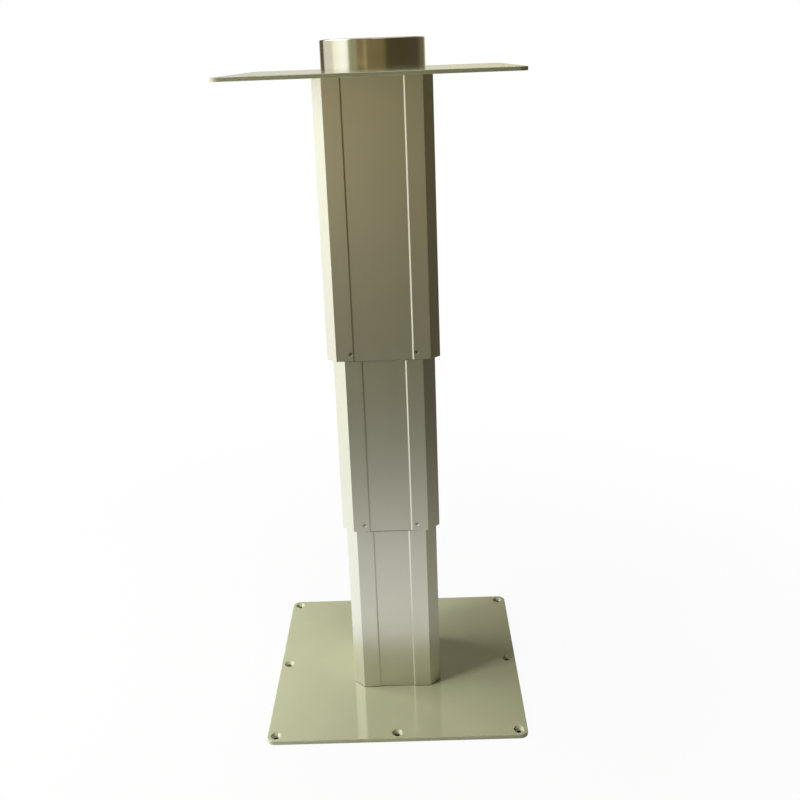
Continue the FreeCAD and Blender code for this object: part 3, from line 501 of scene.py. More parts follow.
class FlushScrewTree(GeometryTree):
    """Tree that sets countersunk screws around the column, each with a recess for its driver and a thread."""

    HEAD_SIDES = 32
    THREAD_STEPS = 14
    THREAD_SIDES = 3
    SOCKET_SIDES = 6
    WING_SIDES = 4
    WING_SHARE = 0.2
    MOUTH_SHARE = 0.58
    FLOOR_SHARE = 0.18
    STAND_OUT = 1.25
    ROOT_SHARE = 0.84
    SEED = 7
    LEAST_SOCKET = 2
    MOST_SOCKET = 3
    NUMBERS = ("Head Diameter", "Shank Diameter", "Length", "Rim", "Socket Width", "Socket Depth",
               "Thread Pitch", "Reach", "Offset", "Height", "First Angle", "Tilt")

    def __init__(self, drive: Drive) -> None:
        """Make the tree from its named inputs.

        Args:
            drive: Recess that the heads have.
        """
        kinds = {label: "NodeSocketFloat" for label in self.NUMBERS}
        kinds |= {"Sides": "NodeSocketInt", "Per Side": "NodeSocketInt", "Material": "NodeSocketMaterial"}
        super().__init__(f"flush_{drive.value}_screws", kinds)
        self.drive = drive
        self.finish(self.placed(self.screw()))

    def screw(self) -> Socket:
        """Make one screw.

        Returns:
            Its mesh, with the flat head at height 0 and the shank below.
        """
        head = self.sum("DIVIDE", self.inputs["Head Diameter"], 2.0)
        shank = self.sum("DIVIDE", self.inputs["Shank Diameter"], 2.0)
        root = self.sum("MULTIPLY", shank, self.ROOT_SHARE)
        taper = self.sum("SUBTRACT", head, root)
        neck = self.sum("ADD", taper, self.inputs["Rim"])
        rim = self.cylinder(self.HEAD_SIDES, head, self.inputs["Rim"], 0.0)
        cone = self.add("GeometryNodeMeshCone", {"Vertices": self.HEAD_SIDES, "Radius Top": head,
                                                 "Radius Bottom": root, "Depth": taper})
        cone = self.moved(cone, self.sum("MULTIPLY", neck, -1.0))
        stem = self.cylinder(self.HEAD_SIDES, root, self.inputs["Length"], 0.0)
        body = self.add("GeometryNodeMeshBoolean", {1: [rim, cone, stem]}, operation="UNION")
        body = self.add("GeometryNodeMeshBoolean", {0: body, 1: self.recess()}, operation="DIFFERENCE")
        return self.add("GeometryNodeJoinGeometry", {0: [body, self.thread(root, shank, neck)]})

    def recess(self) -> Socket:
        """Make the shape that is cut out of the head for the driver.

        Returns:
            Its mesh.
        """
        width, deep = self.inputs["Socket Width"], self.inputs["Socket Depth"]
        if self.drive is Drive.HEX:
            reach = self.sum("DIVIDE", width, math.sqrt(3))
            return self.cylinder(self.SOCKET_SIDES, reach, self.sum("MULTIPLY", deep, 2.0), deep)
        thin = self.WING_SHARE
        cuts = [self.funnel(self.HEAD_SIDES, width, deep, (1.0, 1.0, 1.0)),
                self.funnel(self.WING_SIDES, width, deep, (1.0, thin, self.STAND_OUT)),
                self.funnel(self.WING_SIDES, width, deep, (thin, 1.0, self.STAND_OUT))]
        return self.add("GeometryNodeMeshBoolean", {1: cuts}, operation="UNION")

    def funnel(self, sides: int, width: Socket, deep: Socket, stretch: tuple[float, float, float]) -> Socket:
        """Tapered cutter that narrows downwards and stands a little out of the head.

        Args:
            sides: How many sides it has.
            width: Its width at the face of the head.
            deep: How far it goes into the head.
            stretch: How much it is drawn out along each axis.

        Returns:
            Its mesh.
        """
        cone = self.add("GeometryNodeMeshCone", {
            "Vertices": sides, "Radius Top": self.sum("MULTIPLY", width, self.MOUTH_SHARE),
            "Radius Bottom": self.sum("MULTIPLY", width, self.FLOOR_SHARE),
            "Depth": self.sum("MULTIPLY", deep, self.STAND_OUT)})
        sunk = self.moved(cone, self.sum("MULTIPLY", deep, -1.0))
        return self.add("GeometryNodeTransform", {"Geometry": sunk, "Scale": stretch})

    def thread(self, root: Socket, crest: Socket, neck: Socket) -> Socket:
        """Helical ridge of a screw's thread.

        Args:
            root: Radius that it stands on.
            crest: Radius that it reaches.
            neck: Depth below the head at which it ends.

        Returns:
            Its mesh.
        """
        depth = self.sum("SUBTRACT", crest, root)
        run = self.sum("SUBTRACT", self.sum("SUBTRACT", self.inputs["Length"], neck), depth)
        turns = self.sum("DIVIDE", run, self.inputs["Thread Pitch"])
        path = self.add("GeometryNodeCurveSpiral", {"Resolution": self.THREAD_STEPS, "Rotations": turns,
                                                    "Start Radius": root, "End Radius": root, "Height": run})
        section = self.add("GeometryNodeCurvePrimitiveCircle", {"Resolution": self.THREAD_SIDES,
                                                                "Radius": depth})
        ridge = self.add("GeometryNodeCurveToMesh", {"Curve": path, "Profile Curve": section,
                                                     "Fill Caps": True})
        return self.moved(ridge, self.sum("SUBTRACT", depth, self.inputs["Length"]))

    def placed(self, screw: Socket) -> Socket:
        """Copies of the screw round the column, each turned a little differently in its hole.

        Args:
            screw: Mesh of one screw.

        Returns:
            All the copies.
        """
        number = self.add("GeometryNodeInputIndex", {})
        per_side = self.inputs["Per Side"]
        side = self.sum("FLOOR", self.sum("DIVIDE", number, per_side), 0.0)
        turn = self.sum("DIVIDE", self.sum("MULTIPLY", side, math.tau), self.inputs["Sides"])
        angle = self.sum("ADD", turn, self.inputs["First Angle"])
        place = self.sum("MULTIPLY", self.sum("MODULO", number, per_side), 2.0)
        place = self.sum("SUBTRACT", place, self.sum("SUBTRACT", per_side, 1.0))
        across = self.sum("MULTIPLY", place, self.inputs["Offset"])
        spot = self.vector(self.inputs["Reach"], across, self.inputs["Height"])
        spot = self.add("ShaderNodeVectorRotate", {"Vector": spot, "Angle": angle}, rotation_type="Z_AXIS")
        count = self.sum("MULTIPLY", self.inputs["Sides"], per_side)
        points = self.add("GeometryNodePoints", {"Count": count, "Position": spot})
        copies = self.add("GeometryNodeInstanceOnPoints", {
            "Points": points, "Instance": screw, "Rotation": self.vector(0.0, self.inputs["Tilt"], angle)})
        turns = {self.LEAST_SOCKET: 0.0, self.MOST_SOCKET: math.tau, "Seed": self.SEED}
        twist = self.add("FunctionNodeRandomValue", turns, data_type="FLOAT")
        chance = next(out for out in twist.node.outputs if out.enabled)
        spin = self.vector(0.0, 0.0, chance)
        return self.add("GeometryNodeRotateInstances", {"Instances": copies, "Rotation": spin})


ScrewTrees = dict[Drive, FlushScrewTree]


@dataclass
class OwnPiece:
    """Piece that is built to stand for one CAD node, with a slot for each kind of piece."""

    SLOT: ClassVar[Slot]
    node: str
    body: Body

    def shape(self, material: Material, trees: ScrewTrees) -> Piece:
        """Make the piece at the origin, which each kind of piece does in its own way."""
        raise NotImplementedError

    def build(self, finishes: Finishes, trees: ScrewTrees) -> None:
        """Make the piece and put it in place of its node.

        Args:
            finishes: Materials, by slot.
            trees: Trees that make screws, by the recess in the head.
        """
        piece = self.shape(finishes[self.SLOT], trees)
        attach(piece, self.body.value)
        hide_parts(self.node)
        LOG.info("built %s", piece.name)


class Tilt(Enum):
    """Way that a set of screws faces, as the turn of a head from straight up."""

    UP = 0.0
    OUT = math.pi / 2
    DOWN = math.pi


@dataclass(frozen=True)
class PlateScrew:
    """Countersunk screw that holds a plate on the end of a tube."""

    head: float = 9.2 * MM
    shank: float = 5.4 * MM
    length: float = 20 * MM
    rim: float = 0.3 * MM
    drive: Drive = Drive.HEX
    socket_share: float = 0.5
    socket_depth: float = 1.2 * MM
    pitch_share: float = 0.22


@dataclass(frozen=True)
class PadScrew(PlateScrew):
    """Small countersunk screw that holds a glide pad in the mouth of a tube."""

    head: float = 4.2 * MM
    shank: float = 2.5 * MM
    length: float = 2.8 * MM
    drive: Drive = Drive.CROSS
    socket_share: float = 0.84
    socket_depth: float = 0.9 * MM


@dataclass
class FlushScrews(OwnPiece):
    """Set of countersunk screws, two on each side of a tube's mouth or one at each corner of its end."""

    SLOT = Slot.SCREW_STEEL
    SIDES = 4
    screw: PlateScrew
    tilt: Tilt
    offset: float = 0.0

    def shape(self, material: Material, trees: ScrewTrees) -> Piece:
        """Make the screws.

        Args:
            material: Their finish.
            trees: Trees that make screws, by the recess in the head.

        Returns:
            The screws as one piece.
        """
        screw = self.screw
        low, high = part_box(self.node)
        if self.tilt is Tilt.OUT:
            place = {"Reach": high.x, "Height": (low.z + high.z) / 2, "First Angle": 0.0, "Per Side": 2}
        else:
            corner = (high.x - screw.head / 2) * math.sqrt(2)
            face = high.z if self.tilt is Tilt.UP else low.z
            place = {"Reach": corner, "Height": face, "First Angle": math.pi / 4, "Per Side": 1}
        return trees[screw.drive].piece(self.node + "_set", place | {
            "Head Diameter": screw.head, "Shank Diameter": screw.shank, "Length": screw.length,
            "Rim": screw.rim, "Socket Width": screw.head * screw.socket_share,
            "Socket Depth": screw.socket_depth, "Thread Pitch": screw.shank * screw.pitch_share,
            "Offset": self.offset, "Tilt": self.tilt.value, "Sides": self.SIDES, "Material": material})


Radius = float | Callable[[float], float]


@dataclass(frozen=True)
class Thread:
    """Right-hand trapezoidal thread of a lifting screw."""

    crest: float
    depth: float
    lead: float = 10 * MM
    starts: int = 2
    FORM = ((0.0, 0.0), (0.2, 1.0), (0.5, 1.0), (0.7, 0.0))

    @property
    def root(self) -> float:
        """Radius between the teeth."""
        return self.crest - self.depth

    @property
    def pitch(self) -> float:
        """Distance from one tooth to the next."""
        return self.lead / self.starts

    def fade(self, above: float, below: float) -> float:
        """Share of the tooth that is left near an end of the thread."""
        return max(0.0, min(1.0, above / self.pitch, below / self.pitch))


def on_ring(radius: float, angle: float, height: float) -> Vector:
    """Point at a radius and an angle about the Z axis."""
    return Vector((radius * math.cos(angle), radius * math.sin(angle), height))


class RingStack:
    """Closed surface made of bands of points round the Z axis."""

    SIDES = 48
    WELD = 1e-7

    def __init__(self) -> None:
        """Start with no bands."""
        self.mesh = bmesh.new()
        self.angles = [math.tau * step / self.SIDES for step in range(self.SIDES)]

    def band(self, rows: Sequence[Sequence[Vector]], climb: int = 0) -> None:
        """Join rows of points into a band.

        Args:
            rows: Rows of points, each going once round.
            climb: How many rows higher the band has come when it meets its own start.
        """
        points = [[self.mesh.verts.new(place) for place in row] for row in rows]
        last = len(points) - 1
        for low, row in enumerate(points[:-1]):
            for side in range(self.SIDES):
                step = climb if side == self.SIDES - 1 else 0
                beside = (side + 1) % self.SIDES
                near = points[min(low + step, last)][beside]
                far = points[min(low + step + 1, last)][beside]
                if near is not far:
                    self.mesh.faces.new((row[side], near, far, points[low + 1][side]))

    def turn(self, profile: Sequence[tuple[float, Radius]]) -> None:
        """Add a turned band.

        Args:
            profile: Heights, each with a radius or with a radius that depends on the angle.
        """
        self.band([[on_ring(radius(angle) if callable(radius) else radius, angle, height)
                    for angle in self.angles] for height, radius in profile])

    def thread(self, thread: Thread, bottom: float, top: float) -> None:
        """Add a threaded band whose rows follow the helix.

        Args:
            thread: Form of the thread.
            bottom: Height of the lower end.
            top: Height of the upper end.
        """
        per_turn = thread.starts * len(thread.FORM)
        count = math.ceil((top - bottom) / thread.lead + 1) * per_turn + 1
        rows = []
        for number in range(count):
            tooth, corner = divmod(number, len(thread.FORM))
            along, rise = thread.FORM[corner]
            start = bottom - thread.lead + (tooth + along) * thread.pitch
            row = []
            for angle in self.angles:
                height = min(max(start + angle / math.tau * thread.lead, bottom), top)
                radius = thread.crest - thread.depth * (1 - rise * thread.fade(height - bottom, top - height))
                row.append(on_ring(radius, angle, height))
            rows.append(row)
        self.band(rows, per_turn)

    def piece(self, name: str, material: Material) -> Piece:
        """Weld the bands into one piece.

        Args:
            name: Name of the piece.
            material: Its finish.

        Returns:
            The piece, at the origin.
        """
        bmesh.ops.remove_doubles(self.mesh, verts=self.mesh.verts, dist=self.WELD)
        bmesh.ops.dissolve_degenerate(self.mesh, edges=self.mesh.edges, dist=self.WELD)
        bmesh.ops.recalc_face_normals(self.mesh, faces=self.mesh.faces)
        data = bpy.data.meshes.new(name)
        self.mesh.to_mesh(data)
        self.mesh.free()
        data.shade_smooth()
        data.set_sharp_from_angle(angle=SHARP)
        data.materials.append(material)
        return shown(bpy.data.objects.new(name, data))


@dataclass
class LiftingScrew(OwnPiece):
    """Threaded screw that is made of turned and threaded bands."""

    SLOT = Slot.SPINDLE_STEEL
    name: str
    stack: RingStack

    def shape(self, material: Material, trees: ScrewTrees) -> Piece:
        """Make the screw, which needs none of the trees."""
        return self.stack.piece(self.name, material)


def hexagon(across_flats: float) -> Radius:
    """Radius of a hexagon, with a corner on the X axis, at each angle."""
    sixth = math.tau / 6
    return lambda angle: across_flats / 2 / math.cos(angle % sixth - sixth / 2)


def flatted(radius: float, flat: float) -> Radius:
    """Radius of a round shaft with one flat across the X axis, at each angle."""
    return lambda angle: min(radius, flat / max(math.cos(angle), flat / radius))


@dataclass
class SubAssembly:
    """Group of CAD nodes that are dressed together, with the pieces that are built for them."""

    nodes: Names = ()

    def own_pieces(self) -> Sequence[OwnPiece]:
        """Pieces that stand for CAD nodes, of which a plain group has none."""
        return ()

    def build(self, finishes: Finishes, trees: ScrewTrees) -> None:
        """Build the group's own pieces."""
        for piece in self.own_pieces():
            piece.build(finishes, trees)

    def dress(self, finishes: Finishes) -> None:
        """Give every node the finish of its slot.

        Args:
            finishes: Materials, by slot.
        """
        for node in self.nodes:
            solid = frame["nodes"][node]
            if not solid.material_slots:
                solid.data.materials.append(None)
            for place in solid.material_slots:
                place.material = finishes[SLOT_OF[node]]
            LOG.info("dressed %s in %s", node, SLOT_OF[node].value)


@dataclass
class BaseStage(SubAssembly):
    """Floor plate and lower tube, with the head that holds the lower nut."""

    nodes: Names = ("base_plate", "lower_tube", "lower_top_pads", "lower_head", "lower_head_screws",
                    "lower_nut", "lower_nut_screws")
    plate_screw: PlateScrew = PlateScrew()

    def own_pieces(self) -> Sequence[OwnPiece]:
        """Screws under the floor plate."""
        return (FlushScrews("base_screws", Body.BASE, self.plate_screw, Tilt.DOWN),)


@dataclass
class MiddleStage(SubAssembly):
    """Middle tube, its glide pads, and the head with the upper nut and the lower screw's bearing."""

    nodes: Names = ("middle_tube", "middle_mouth_pads", "middle_top_pads", "middle_head",
                    "middle_head_screws", "upper_nut", "upper_nut_screws", "bearing_cup", "cup_screws",
                    "lower_bearing_outer", "lower_bearing_balls", "lower_bearing_clip")
    pad_screw: PadScrew = PadScrew()
    pad_screw_offset: float = 30.6 * MM

    def own_pieces(self) -> Sequence[OwnPiece]:
        """Screws that hold the pads in the tube's mouth."""
        return (FlushScrews("middle_pad_screws", Body.MIDDLE, self.pad_screw, Tilt.OUT,
                            self.pad_screw_offset),)


@dataclass
class OuterStage(SubAssembly):
    """Outer tube and top plate, with the upper screw's bearing housing."""

    nodes: Names = ("outer_tube", "outer_mouth_pads", "top_plate", "top_bearing_housing", "housing_screws",
                    "top_bearing_outer", "top_bearing_balls")
    pad_screw: PadScrew = PadScrew(length=4.6 * MM)
    pad_screw_offset: float = 36.4 * MM
    plate_screw: PlateScrew = PlateScrew()

    def own_pieces(self) -> Sequence[OwnPiece]:
        """Pad screws, and the screws that hold the top plate on the tube."""
        return (FlushScrews("outer_pad_screws", Body.OUTER, self.pad_screw, Tilt.OUT,
                            self.pad_screw_offset),
                FlushScrews("top_plate_screws", Body.OUTER, self.plate_screw, Tilt.UP))


@dataclass
class LowerSpindle(SubAssembly):
    """Hollow lower screw with its bearing's inner ring and spring ring."""

    nodes: Names = ("lower_bearing_inner", "lower_screw_clip")
    thread: Thread = Thread(crest=15 * MM, depth=2.2 * MM)
    journal: float = 12.45 * MM
    clip_sink: float = 0.7 * MM
    bore: float = 17 * MM

    def own_pieces(self) -> Sequence[OwnPiece]:
        """Threaded screw with its hex bore.

        Returns:
            The one piece.
        """
        low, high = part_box("lower_screw")
        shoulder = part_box("lower_bearing_inner")[0].z
        clip_low, clip_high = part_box("lower_screw_clip")
        bore = hexagon(self.bore)
        seat = self.journal - self.clip_sink
        stack = RingStack()
        stack.turn([(high.z, bore), (low.z, bore), (low.z, self.thread.root)])
        stack.thread(self.thread, low.z, shoulder)
        stack.turn([(shoulder, self.thread.root), (shoulder, self.journal), (clip_low.z, self.journal),
                    (clip_low.z, seat), (clip_high.z, seat), (clip_high.z, self.journal),
                    (high.z, self.journal), (high.z, bore)])
        return (LiftingScrew("lower_screw", Body.LOWER_SCREW, "lower_spindle", stack),)


@dataclass
class UpperSpindle(SubAssembly):
    """Upper screw with its drive foot, gear and bearing ring."""

    nodes: Names = ("top_bearing_inner", "drive_gear", "gear_clip", "drive_foot", "foot_screw")
    thread: Thread = Thread(crest=8 * MM, depth=1.8 * MM)
    journal: float = 5.95 * MM
    clip_sink: float = 0.7 * MM
    flat_depth: float = 0.8 * MM
    gear_gap: float = 1.5 * MM
    spigot: float = 5 * MM
    tapped_hole: float = 2.55 * MM
    tapped_depth: float = 13 * MM

    def own_pieces(self) -> Sequence[OwnPiece]:
        """Threaded screw with its journal above and its spigot below.

        Returns:
            The one piece.
        """
        low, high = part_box("upper_screw")
        foot_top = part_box("drive_foot")[1].z
        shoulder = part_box("top_bearing_inner")[0].z
        gear_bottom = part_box("top_plate")[1].z + self.gear_gap
        clip_low, clip_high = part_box("gear_clip")
        spigot = flatted(self.spigot, self.spigot - self.flat_depth)
        journal = flatted(self.journal, self.journal - self.flat_depth)
        seat = self.journal - self.clip_sink
        hole_end = low.z + self.tapped_depth
        stack = RingStack()
        stack.turn([(hole_end, 0.0), (hole_end, self.tapped_hole), (low.z, self.tapped_hole), (low.z, spigot),
                    (foot_top, spigot), (foot_top, self.thread.root)])
        stack.thread(self.thread, foot_top, shoulder)
        stack.turn([(shoulder, self.thread.root), (shoulder, self.journal), (gear_bottom, self.journal),
                    (gear_bottom, journal), (clip_low.z, journal), (clip_low.z, seat), (clip_high.z, seat),
                    (clip_high.z, journal), (high.z, journal), (high.z, 0.0)])
        return (LiftingScrew("upper_screw", Body.UPPER_SCREW, "upper_spindle", stack),)


@dataclass
class DriveUnit(SubAssembly):
    """Motor, pinion and bracket under the turned cover."""

    nodes: Names = ("drive_cover", "cover_screws", "motor_bracket", "bracket_posts", "bracket_screws",
                    "drive_motor", "motor_screws", "motor_shaft", "motor_pinion", "cable_grommet")


def stage_mesh(name: str, points: Sequence[Vector], faces: Sequence[Sequence[int]],
               material: Material) -> Piece:
    """Make a studio piece that isn't part of the leg.

    Args:
        name: Name of the piece.
        points: Its corners.
        faces: Its faces, as numbers of corners.
        material: Its finish.

    Returns:
        The piece, added to the scene.
    """
    data = bpy.data.meshes.new(name)
    data.from_pydata(points, [], faces)
    data.materials.append(material)
    made = shown(bpy.data.objects.new(name, data))
    return made


def seen_as_background(tree: NodeTree) -> Socket:
    """Tell rays that see the background from rays that only carry light.

    Args:
        tree: Tree of the floor or the surroundings.

    Returns:
        A value of 1 where a ray comes from the camera, or from metal or glass, and 0 for other rays.
    """
    path = tree.nodes.new("ShaderNodeLightPath").outputs
    mirrored = tree.sum("MAXIMUM", path["Is Glossy Ray"], path["Is Transmission Ray"])
    return tree.sum("MAXIMUM", path["Is Camera Ray"], mirrored)


def direction(azimuth: float) -> Vector:
    """Level direction at an angle in degrees from the front, positive to the right."""
    turn = math.radians(azimuth)
    return Vector((math.sin(turn), -math.cos(turn), 0))


@dataclass
class PaintedReflectionRoom:
    """Painted reflections for the metal: a glowing round wall with a brighter window patch in it, and a
    glowing ground sheet before it, which only reflections see.

    The shades are colours of light by the angle in degrees, from straight behind round by the left.
    """

    radius: float = 3.0
    height: float = 3.2
    steps: int = 72
    glow: float = 8.0
    sheet_start: float = 0.15
    sheet_lift: float = 0.4 * MM
    sheet_fade: Span = (0.27, 0.9)
    low_end: Span = (0.58, 0.68)
    high_start: Span = (1.3, 1.6)
    # Painted reflections: light and dark patches of glow round the wall, which the metal mirrors as its
    # highlights and dark sides.
    wall_shades: Shades = (
        (-180.0, (0.76, 0.74, 0.60)),
        (-164.0, (0.72, 0.71, 0.66)),
        (-150.0, (0.13, 0.11, 0.07)),
        (-131.0, (0.13, 0.11, 0.07)),
        (-127.0, (1.05, 1.02, 0.90)),
        (-96.0, (1.10, 1.07, 0.96)),
        (-90.0, (1.56, 1.56, 1.36)),
        (-67.0, (1.74, 1.82, 1.74)),
        (-54.0, (1.70, 1.74, 1.60)),
        (-49.0, (0.44, 0.46, 0.28)),
        (-35.0, (0.45, 0.46, 0.285)),
        (-29.0, (0.285, 0.235, 0.105)),
        (-19.0, (0.285, 0.235, 0.105)),
        (-14.0, (0.50, 0.43, 0.245)),
        (-9.0, (0.29, 0.24, 0.115)),
        (24.0, (0.26, 0.215, 0.10)),
        (34.0, (0.105, 0.087, 0.04)),
        (75.0, (0.10, 0.082, 0.038)),
        (85.0, (0.105, 0.088, 0.048)),
        (115.0, (0.105, 0.088, 0.048)),
        (130.0, (0.19, 0.165, 0.115)),
        (150.0, (0.21, 0.19, 0.14)),
        (164.0, (0.76, 0.73, 0.45)),
    )
    high_span: Span = (-127.0, 150.0)
    # Painted highlight: a window patch high on the wall, 4.6 times as bright as white.
    high_front: Shades = (
        (-122.0, (4.60, 4.60, 4.00)),
        (-60.0, (4.60, 4.60, 4.00)),
        (-48.0, (0.29, 0.24, 0.12)),
        (24.0, (0.26, 0.215, 0.10)),
        (34.0, (0.105, 0.087, 0.04)),
        (130.0, (0.24, 0.21, 0.15)),
    )
    low_span: Span = (-127.0, 24.0)
    # Painted reflections low on the wall: a bright patch on the left and a warm bright bar in front on the
    # left.
    low_front: Shades = (
        (-127.0, (1.60, 1.58, 1.40)),
        (-97.0, (1.66, 1.66, 1.46)),
        (-93.0, (1.11, 1.12, 0.99)),
        (-54.0, (1.11, 1.13, 1.00)),
        (-49.0, (0.44, 0.46, 0.28)),
        (-35.0, (0.50, 0.48, 0.32)),
        (-30.0, (1.68, 1.39, 0.97)),
        (-14.0, (1.68, 1.39, 0.97)),
        (-10.0, (0.145, 0.12, 0.035)),
        (24.0, (0.145, 0.12, 0.035)),
    )
    # Painted reflections on the ground sheet, near the leg and further off.
    near_shades: Shades = (
        (-140.0, (0.86, 0.86, 0.81)),
        (-110.0, (1.31, 1.34, 1.35)),
        (-60.0, (1.29, 1.32, 1.31)),
        (-30.0, (0.90, 0.89, 0.85)),
        (30.0, (0.85, 0.85, 0.80)),
        (70.0, (0.385, 0.375, 0.30)),
        (110.0, (0.385, 0.375, 0.30)),
        (140.0, (0.86, 0.86, 0.81)),
    )
    far_shades: Shades = (
        (-140.0, (0.36, 0.34, 0.28)),
        (-110.0, (1.31, 1.33, 1.21)),
        (-60.0, (1.28, 1.30, 1.17)),
        (-30.0, (0.085, 0.087, 0.036)),
        (30.0, (0.080, 0.082, 0.034)),
        (40.0, (0.085, 0.073, 0.042)),
        (110.0, (0.085, 0.073, 0.042)),
        (140.0, (0.36, 0.34, 0.28)),
    )

    def build(self) -> None:
        """Set up the glowing wall and sheet for the metal alone to see, so that they paint its reflections.
        """
        rise, lift = Vector((0, 0, self.height)), Vector((0, 0, self.sheet_lift))
        wall = self.ring_points(lambda out: (out * self.radius, out * self.radius + rise))
        sheet = self.ring_points(lambda out: (out * self.sheet_start + lift, out * self.radius + lift))
        faces = [(n, n + 1, n + 3, n + 2) for n in range(0, 2 * self.steps, 2)]
        # Both pieces glow and only reflections see them: they paint the metal's reflections.
        for name, points, material in (("painted_reflection_wall", wall, self.wall_material()),
                                       ("painted_reflection_sheet", sheet, self.sheet_material())):
            made = stage_mesh(name, points, faces, material)
            for ray in ("camera", "diffuse", "shadow", "transmission", "volume_scatter"):
                setattr(made, "visible_" + ray, False)

    def ring_points(self, pair: Callable[[Vector], tuple[Vector, Vector]]) -> list[Vector]:
        """Pairs of points once round the leg.

        Args:
            pair: Gives the two points for a level direction.

        Returns:
            The points of all pairs in order.
        """
        points = []
        for step in range(self.steps + 1):
            points += pair(direction(2 * HALF_TURN * step / self.steps - HALF_TURN))
        return points

    def by_angle(self, tree: ShaderTree, shades: Shades) -> Socket:
        """Colour that depends on the angle about the Z axis.

        Args:
            tree: Material's tree.
            shades: Angles with their colours, of which the first also closes the ring.

        Returns:
            The colour, which the glow's strength then brings up to its full value.
        """
        out = tree.split(tree.mapped((1.0, -1.0, 1.0)))
        share = tree.spread(tree.sum("ARCTAN2", out["X"], out["Y"]), (-math.pi, math.pi))
        return tree.shades(share, [((angle + HALF_TURN) / (2 * HALF_TURN), scaled(colour, 1 / self.glow))
                                   for angle, colour in (*shades, (HALF_TURN, shades[0][1]))])

    def lit(self, tree: ShaderTree, colour: Socket) -> Material:
        """Material that glows in a colour."""
        tree.show(tree.add("ShaderNodeEmission", {"Color": colour, "Strength": self.glow}))
        return tree.material

    def with_front(self, front: Shades, span: Span) -> Shades:
        """The wall's shades, with others in their place over a span of angles."""
        kept = [stop for stop in self.wall_shades if not span[0] <= stop[0] <= span[1]]
        return tuple(sorted((*kept, *front)))

    def wall_material(self) -> Material:
        """Make the wall's glowing shades, which paint the metal's reflections, with a brighter window patch
        high up and a bright panel low on the left.

        Returns:
            The glowing material.
        """
        tree = ShaderTree("painted_reflection_wall_shades", {})
        low, middle, high = (self.by_angle(tree, shades) for shades in (
            self.with_front(self.low_front, self.low_span), self.wall_shades,
            self.with_front(self.high_front, self.high_span)))
        height = tree.height()
        lower = tree.mixed(tree.spread(height, self.low_end), low, middle)
        return self.lit(tree, tree.mixed(tree.spread(height, self.high_start), lower, high))

    def sheet_material(self) -> Material:
        """Make the ground sheet's glowing shades, which paint the metal's reflections and darken away from
        the leg.

        Returns:
            The glowing material.
        """
        tree = ShaderTree("painted_reflection_sheet_shades", {})
        share = tree.spread(tree.reach(tree.place), self.sheet_fade)
        near, far = self.by_angle(tree, self.near_shades), self.by_angle(tree, self.far_shades)
        return self.lit(tree, tree.mixed(share, near, far))


@dataclass(frozen=True)
class SoftLight:
    """Soft rectangular light that faces a point on the leg's axis, with angles in degrees."""

    name: str
    azimuth: float
    distance: float
    height: float
    aim: float
    size: Span
    power: float
    spread: float = HALF_TURN
    colour: Colour = (0.98, 1.0, 1.0)

    def build(self) -> None:
        """Set the light up, unseen by the camera and by the metal."""
        data = bpy.data.lights.new(self.name, "AREA")
        data.shape = "RECTANGLE"
        data.size, data.size_y = self.size
        data.energy = self.power
        data.spread = math.radians(self.spread)
        data.color = self.colour
        lamp = shown(bpy.data.objects.new(self.name, data))
        lamp.location = direction(self.azimuth) * self.distance + Vector((0, 0, self.height))
        lamp.rotation_euler = (lamp.location - Vector((0, 0, self.aim))).to_track_quat("Z", "Y").to_euler()
        lamp.visible_camera = lamp.visible_glossy = False


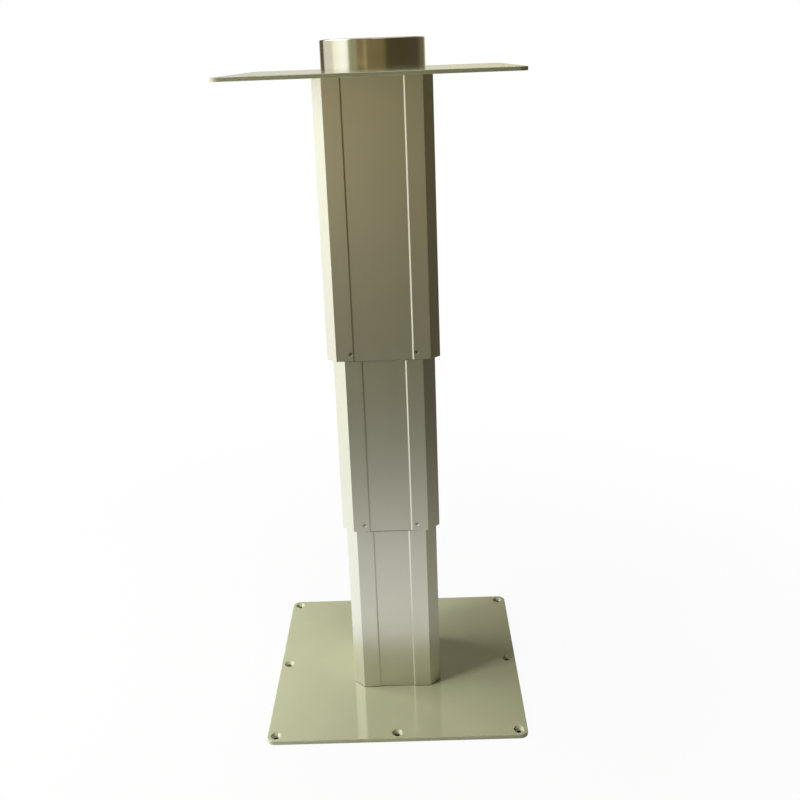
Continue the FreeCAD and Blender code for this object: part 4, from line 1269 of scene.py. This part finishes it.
@dataclass
class Studio:
    """Pale floor, white surroundings, two soft window lights from the left and one above the top plate."""

    floor_half: float = 12.0
    floor_colour: Colour = (0.55, 0.55, 0.53)
    floor_roughness: float = 0.9
    floor_gloss: float = 0.1
    # Painted shade: near-black floor colour under the base plate, seen through its holes.
    painted_shade_under_plate: Colour = (0.03, 0.03, 0.025)
    floor_white: Span = (0.95, 1.0)
    floor_fade: Span = (0.35, 0.9)
    floor_covered: Span = (0.1465, 0.1475)
    ambient: Colour = (0.125, 0.113, 0.062)
    lights: tuple[SoftLight, ...] = (
        SoftLight("front_window_light", azimuth=-62.0, distance=1.6, height=1.0, aim=0.0,
                  size=(0.4, 0.4), power=4.85, spread=90.0),
        SoftLight("side_window_light", azimuth=-95.0, distance=1.0, height=0.5, aim=0.5,
                  size=(0.8, 0.5), power=14.2),
        SoftLight("ceiling_light", azimuth=-90.0, distance=0.1, height=1.7, aim=0.7,
                  size=(0.3, 0.3), power=7.0),
    )

    def build(self) -> None:
        """Set up the world, the floor, the lights and the glowing wall and sheet that paint the metal's
        reflections.
        """
        self.make_world()
        self.make_floor()
        for light in self.lights:
            light.build()
        PaintedReflectionRoom().build()
        bpy.context.scene.view_settings.view_transform = "Standard"
        LOG.info("built the studio")

    def make_world(self) -> None:
        """Surroundings that are white to look at and a softer grey as light."""
        world = bpy.data.worlds.new("studio_surroundings")
        world.use_nodes = True
        bpy.context.scene.world = world
        tree = NodeTree(world.node_tree)
        light = tree.nodes["Background"]
        light.inputs["Color"].default_value = (*self.ambient, 1.0)
        white = tree.add("ShaderNodeBackground", {"Color": (1.0, 1.0, 1.0, 1.0)})
        share = seen_as_background(tree)
        choice = tree.add("ShaderNodeMixShader", {"Fac": share, 1: light.outputs[0], 2: white})
        tree.links.new(choice, tree.nodes["World Output"].inputs["Surface"])

    def make_floor(self) -> None:
        """Pale floor that keeps the leg's shadow and is white further off, with painted shade under the
        plate: a near-black colour that darkens its holes.
        """
        dull = {"Roughness": self.floor_roughness, "Specular IOR Level": self.floor_gloss}
        tree = ShaderTree("pale_studio_floor", dull)
        aside = tree.split(tree.add("ShaderNodeVectorMath", {0: tree.place}, operation="ABSOLUTE"))
        clear = tree.spread(tree.sum("MAXIMUM", aside["X"], aside["Y"]), self.floor_covered)
        # Painted shade under the plate, where the floor is covered.
        tree.drive("Base Color", tree.shades(clear, [(0.0, self.painted_shade_under_plate), (1.0, self.floor_colour)]))
        share = tree.spread(tree.reach(tree.place), self.floor_fade, self.floor_white)
        share = tree.sum("MULTIPLY", tree.sum("MULTIPLY", share, clear), seen_as_background(tree))
        white = tree.add("ShaderNodeEmission", {})
        tree.show(tree.add("ShaderNodeMixShader", {"Fac": share, 1: tree.shader.outputs[0], 2: white}))
        half = self.floor_half
        corners = [Vector((x, y, 0)) for x, y in ((-half, -half), (half, -half), (half, half), (-half, half))]
        stage_mesh("studio_floor", corners, [range(4)], tree.material)


@dataclass
class PhotoCamera:
    """Camera at the photograph's place, turns in radians."""

    place: tuple[float, float, float] = (0.03494, -1.10511, 0.75564)
    yaw: float = 0.01563
    pitch: float = -0.28753
    roll: float = -0.03779
    sensor: float = 36.0
    focal_share: float = 1.2364
    shift: float = -0.069

    def build(self) -> None:
        """Make the camera and aim it."""
        data = bpy.data.cameras.new("photo_camera")
        data.sensor_width = self.sensor
        data.lens = self.sensor * self.focal_share
        data.shift_y = self.shift
        camera = shown(bpy.data.objects.new("photo_camera", data))
        aim = Matrix.Rotation(self.yaw, 4, "Z") @ Matrix.Rotation(math.pi / 2 + self.pitch, 4, "X")
        camera.matrix_world = Matrix.Translation(self.place) @ aim @ Matrix.Rotation(self.roll, 4, "Z")
        bpy.context.scene.camera = camera


def main() -> None:
    """Dress the leg, build its own pieces, and set the studio round it."""
    logging.basicConfig(level=logging.INFO, format="%(name)s: %(message)s")
    finishes = {finish.slot: finish.material() for finish in FINISHES}
    screws = {drive: FlushScrewTree(drive) for drive in Drive}
    for group in (BaseStage(), MiddleStage(), OuterStage(), LowerSpindle(), UpperSpindle(), DriveUnit()):
        group.build(finishes, screws)
        group.dress(finishes)
    Studio().build()
    PhotoCamera().build()


if __name__ == "__main__":
    main()
